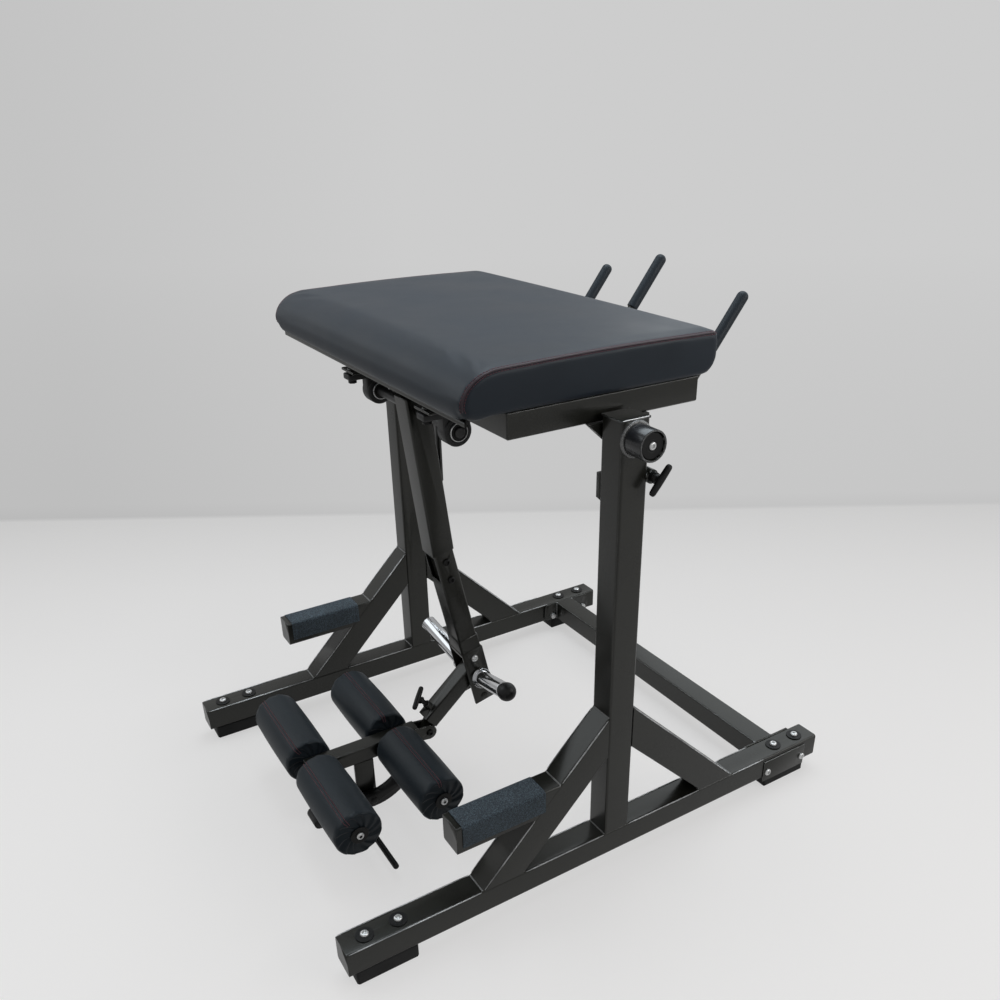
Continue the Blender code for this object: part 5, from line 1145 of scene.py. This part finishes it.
def dress_frame(frame, looks):
    """Better materials for the CAD nodes that stay, with smooth shading on their rounded corners."""
    for name, item in frame["nodes"].items():
        look = looks[""]
        for start, other in looks.items():
            if name.startswith(start):
                look = other
        item.data.materials.clear()
        item.data.materials.append(look)
        item.data.shade_smooth()
        item.data.set_sharp_from_angle(angle=math.radians(50))
        item.modifiers.new("weld_points", "WELD").merge_threshold = 0.00001
        item.modifiers.new("even_shading", "WEIGHTED_NORMAL").keep_sharp = True


# Stage

def wall_dim(nodes, direction):
    """Painted shade on the wall: its share of its full brightness in a direction, less towards the far left.
    """
    return nodes.fit(nodes.vector("DOT_PRODUCT", direction, ASIDE), -0.42, -0.10, WALL_DIM, 1.0)


def camera_view(nodes, plain, seen):
    """One shader for the camera, and in part for reflections, and a plain one for all other light."""
    path = nodes.add("LightPath").outputs
    looked_at = nodes.math("MAXIMUM", path["Is Camera Ray"], nodes.times(path["Is Glossy Ray"], MIRRORED))
    return nodes.mixed(nodes.math("MAXIMUM", looked_at, path["Is Transmission Ray"]), plain, seen)


def floor_tone(look, away, aside):
    """The floor's grey by place, with painted light: darker with distance and towards the right."""
    ramp = look.add("ValToRGB", {"Fac": look.fit(away, -2.4, 1.8, 0, 1)})
    stops = ramp.color_ramp.elements
    stops[0].position, stops[1].position = FLOOR_TONES[0][0], FLOOR_TONES[-1][0]
    stops[0].color, stops[1].color = grey(FLOOR_TONES[0][1]), grey(FLOOR_TONES[-1][1])
    for position, tone in FLOOR_TONES[1:-1]:
        stops.new(position).color = grey(tone)
    return look.scaled(ramp.outputs["Color"], look.fit(aside, -1.2, 1.2, 0.93, 0.90))


def wall_tone(look, spot, outside):
    """The wall's grey, with painted light and shade: lighter further off, and a slightly darker line where it
    meets the floor.
    """
    line = look.times(look.fit(outside, 1.56, 1.635, 0, 1), look.fit(outside, 1.635, 1.80, 1, 0))
    tone = look.blend(look.fit(outside, 1.6, 9.0, 0, 1), grey(WALL_LOW), grey(WALL_HIGH))
    # Painted shade: a darker line where the wall meets the floor
    tone = look.blend(look.times(line, 0.10), tone, grey(0.30))
    sight = look.vector("NORMALIZE", look.vector("SUBTRACT", spot, CAMERA_PLACE))
    return look.scaled(tone, wall_dim(look, sight))


def make_floor():
    """One wide floor painted by place, with painted light: pale near the machine, darker further off, wall
    grey beyond the far line.
    """
    look = Surface("studio_floor")
    across = 12.0
    points = [Vector((x * across, y * across, 0)) for x, y in ((-1, -1), (1, -1), (1, 1), (-1, 1))]
    item = new_object("studio_floor", points, [(0, 1, 2, 3)])
    item.data.materials.append(look.material)
    spot = look.add("NewGeometry").outputs["Position"]
    away = look.vector("DOT_PRODUCT", spot, AWAY)
    aside = look.vector("DOT_PRODUCT", spot, ASIDE)
    outside = look.math("MAXIMUM", look.math("ABSOLUTE", away), look.times(look.math("ABSOLUTE", aside), 0.5))
    tone = floor_tone(look, away, aside)
    warm = look.scaled(look.vector("MULTIPLY", tone, (1.08, 1.0, 0.95)), FLOOR_KEEP / FLOOR_LIGHT)
    lit = look.add("BsdfDiffuse", {"Color": warm}).outputs[0]
    glow = look.add("Emission", {"Color": tone, "Strength": 1 - FLOOR_KEEP}).outputs[0]
    near = look.add("AddShader", {0: lit, 1: glow}).outputs[0]
    far = look.add("Emission", {"Color": wall_tone(look, spot, outside)}).outputs[0]
    seen = look.mixed(look.fit(outside, 1.615, 1.655, 0, 1), near, far)
    plain = look.add("BsdfDiffuse", {"Color": grey(0.20)}).outputs[0]
    look.join(look.tree.nodes["Material Output"].inputs["Surface"], camera_view(look, plain, seen))
    look.tree.nodes.remove(look.shader)


def make_world():
    """The wall's grey for the camera, with painted shade towards the far left, and a weak even light for
    everything else.
    """
    world = bpy.data.worlds.new("studio")
    bpy.context.scene.world = world
    world.use_nodes = True
    nodes = Nodes(world.node_tree)
    nodes.tree.nodes.clear()
    direction = nodes.add("TexCoord").outputs["Generated"]
    dim = wall_dim(nodes, direction)
    seen = nodes.add("Background", {"Color": grey(WALL_HIGH), "Strength": dim}).outputs[0]
    light = nodes.add("Background", {"Color": grey(1.0), "Strength": 0.10}).outputs[0]
    nodes.add("OutputWorld", {"Surface": camera_view(nodes, light, seen)})


def make_lights():
    for name, position, aim, width, height, power, colour in LAMPS:
        data = bpy.data.lights.new(name, "AREA")
        data.shape = "RECTANGLE"
        data.size = width
        data.size_y = height
        data.energy = power
        data.color = colour
        item = bpy.data.objects.new(name, data)
        item.location = position
        item.rotation_mode = "QUATERNION"
        item.rotation_quaternion = (Vector(aim) - Vector(position)).to_track_quat("-Z", "Y")
        bpy.context.scene.collection.objects.link(item)


def make_camera():
    data = bpy.data.cameras.new("camera")
    camera = bpy.data.objects.new("camera", data)
    bpy.context.scene.collection.objects.link(camera)
    yaw, pitch, roll = CAMERA_TURN
    look = Vector((math.cos(yaw) * math.cos(pitch), math.sin(yaw) * math.cos(pitch), math.sin(pitch)))
    right = look.cross(Z).normalized()
    up = right.cross(look)
    right, up = around(right, up, roll), around(up, -right, roll)
    matrix = Matrix((right, up, -look)).transposed().to_4x4()
    matrix.translation = Vector(CAMERA_PLACE)
    camera.matrix_world = matrix
    data.sensor_width = 36
    data.lens = 33.14
    data.shift_x = -0.0101
    data.shift_y = 0.0837
    bpy.context.scene.camera = camera


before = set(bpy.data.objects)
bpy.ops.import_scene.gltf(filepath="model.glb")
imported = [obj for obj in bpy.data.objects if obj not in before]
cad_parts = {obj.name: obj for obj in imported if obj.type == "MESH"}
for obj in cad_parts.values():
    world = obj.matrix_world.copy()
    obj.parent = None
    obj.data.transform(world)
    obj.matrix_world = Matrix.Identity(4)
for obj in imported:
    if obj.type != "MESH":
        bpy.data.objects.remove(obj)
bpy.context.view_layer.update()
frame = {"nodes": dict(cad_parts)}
bpy.context.scene.view_settings.view_transform = "Standard"

paint = frame_paint("frame_paint_look", 1.0)
welded = weld_with_highlight()
black = black_steel()
bright = zinc()
pad_look = vinyl("pad_vinyl_look", (0.0155, 0.0235, 0.034, 1), (0.0205, 0.030, 0.043, 1))
# The seam's welt is a pale mauve, lighter than the pad: a painted highlight along the seam's rounded edge
seam_highlight_look = vinyl("pad_seam_look", (0.075, 0.052, 0.062, 1), (0.105, 0.075, 0.088, 1), 0.12)
roller_look = vinyl("roller_vinyl_look", (0.011, 0.018, 0.024, 1), (0.018, 0.027, 0.035, 1))
red_thread = thread("stitch_look", (0.20, 0.040, 0.060, 1))
grip_look = rubber("grip_rubber_look", (0.022, 0.030, 0.039, 1), (0.027, 0.036, 0.046, 1), (0.42, 0.58), 0.04)
ball_look = rubber("peg_ball_look", grey(0.010), grey(0.018), (0.35, 0.5), 0.12)

# Looks by the start of the nodes' names: the empty start is for all others
dress_frame(frame, {"": paint, "pad_board": frame_paint("board_paint_look", 0.0), "grip_tape": tape_grit(),
                    "rubber_foot": rubber("foot_rubber_look", grey(0.018), grey(0.032)),
                    "pendulum_shaft": black_steel("dark_steel_look", 0.05, 0.09),
                    "roller_axle": black, "foot_lever": black, "hub_cap": black})
make_pad(pad_look, seam_highlight_look, red_thread)
make_rollers(roller_look, red_thread)
for word, side in SIDES:
    make_rail_bolts(word, side, bright, black)
    make_crossbar_bolts(word, side, bright, paint)
make_arm_bolts(bright, black)
make_hubs(hub_black(), welded, bright, black)
make_pins(black)
make_bearings(cast_iron(), bright, black)
make_pegs(chrome(), ball_look)
make_grips(grip_look)
make_axle_ends(black, bright)
weld_frame(welded, edge_highlight_and_wear())
weld_carrier(welded)
make_floor()
make_world()
make_lights()
make_camera()
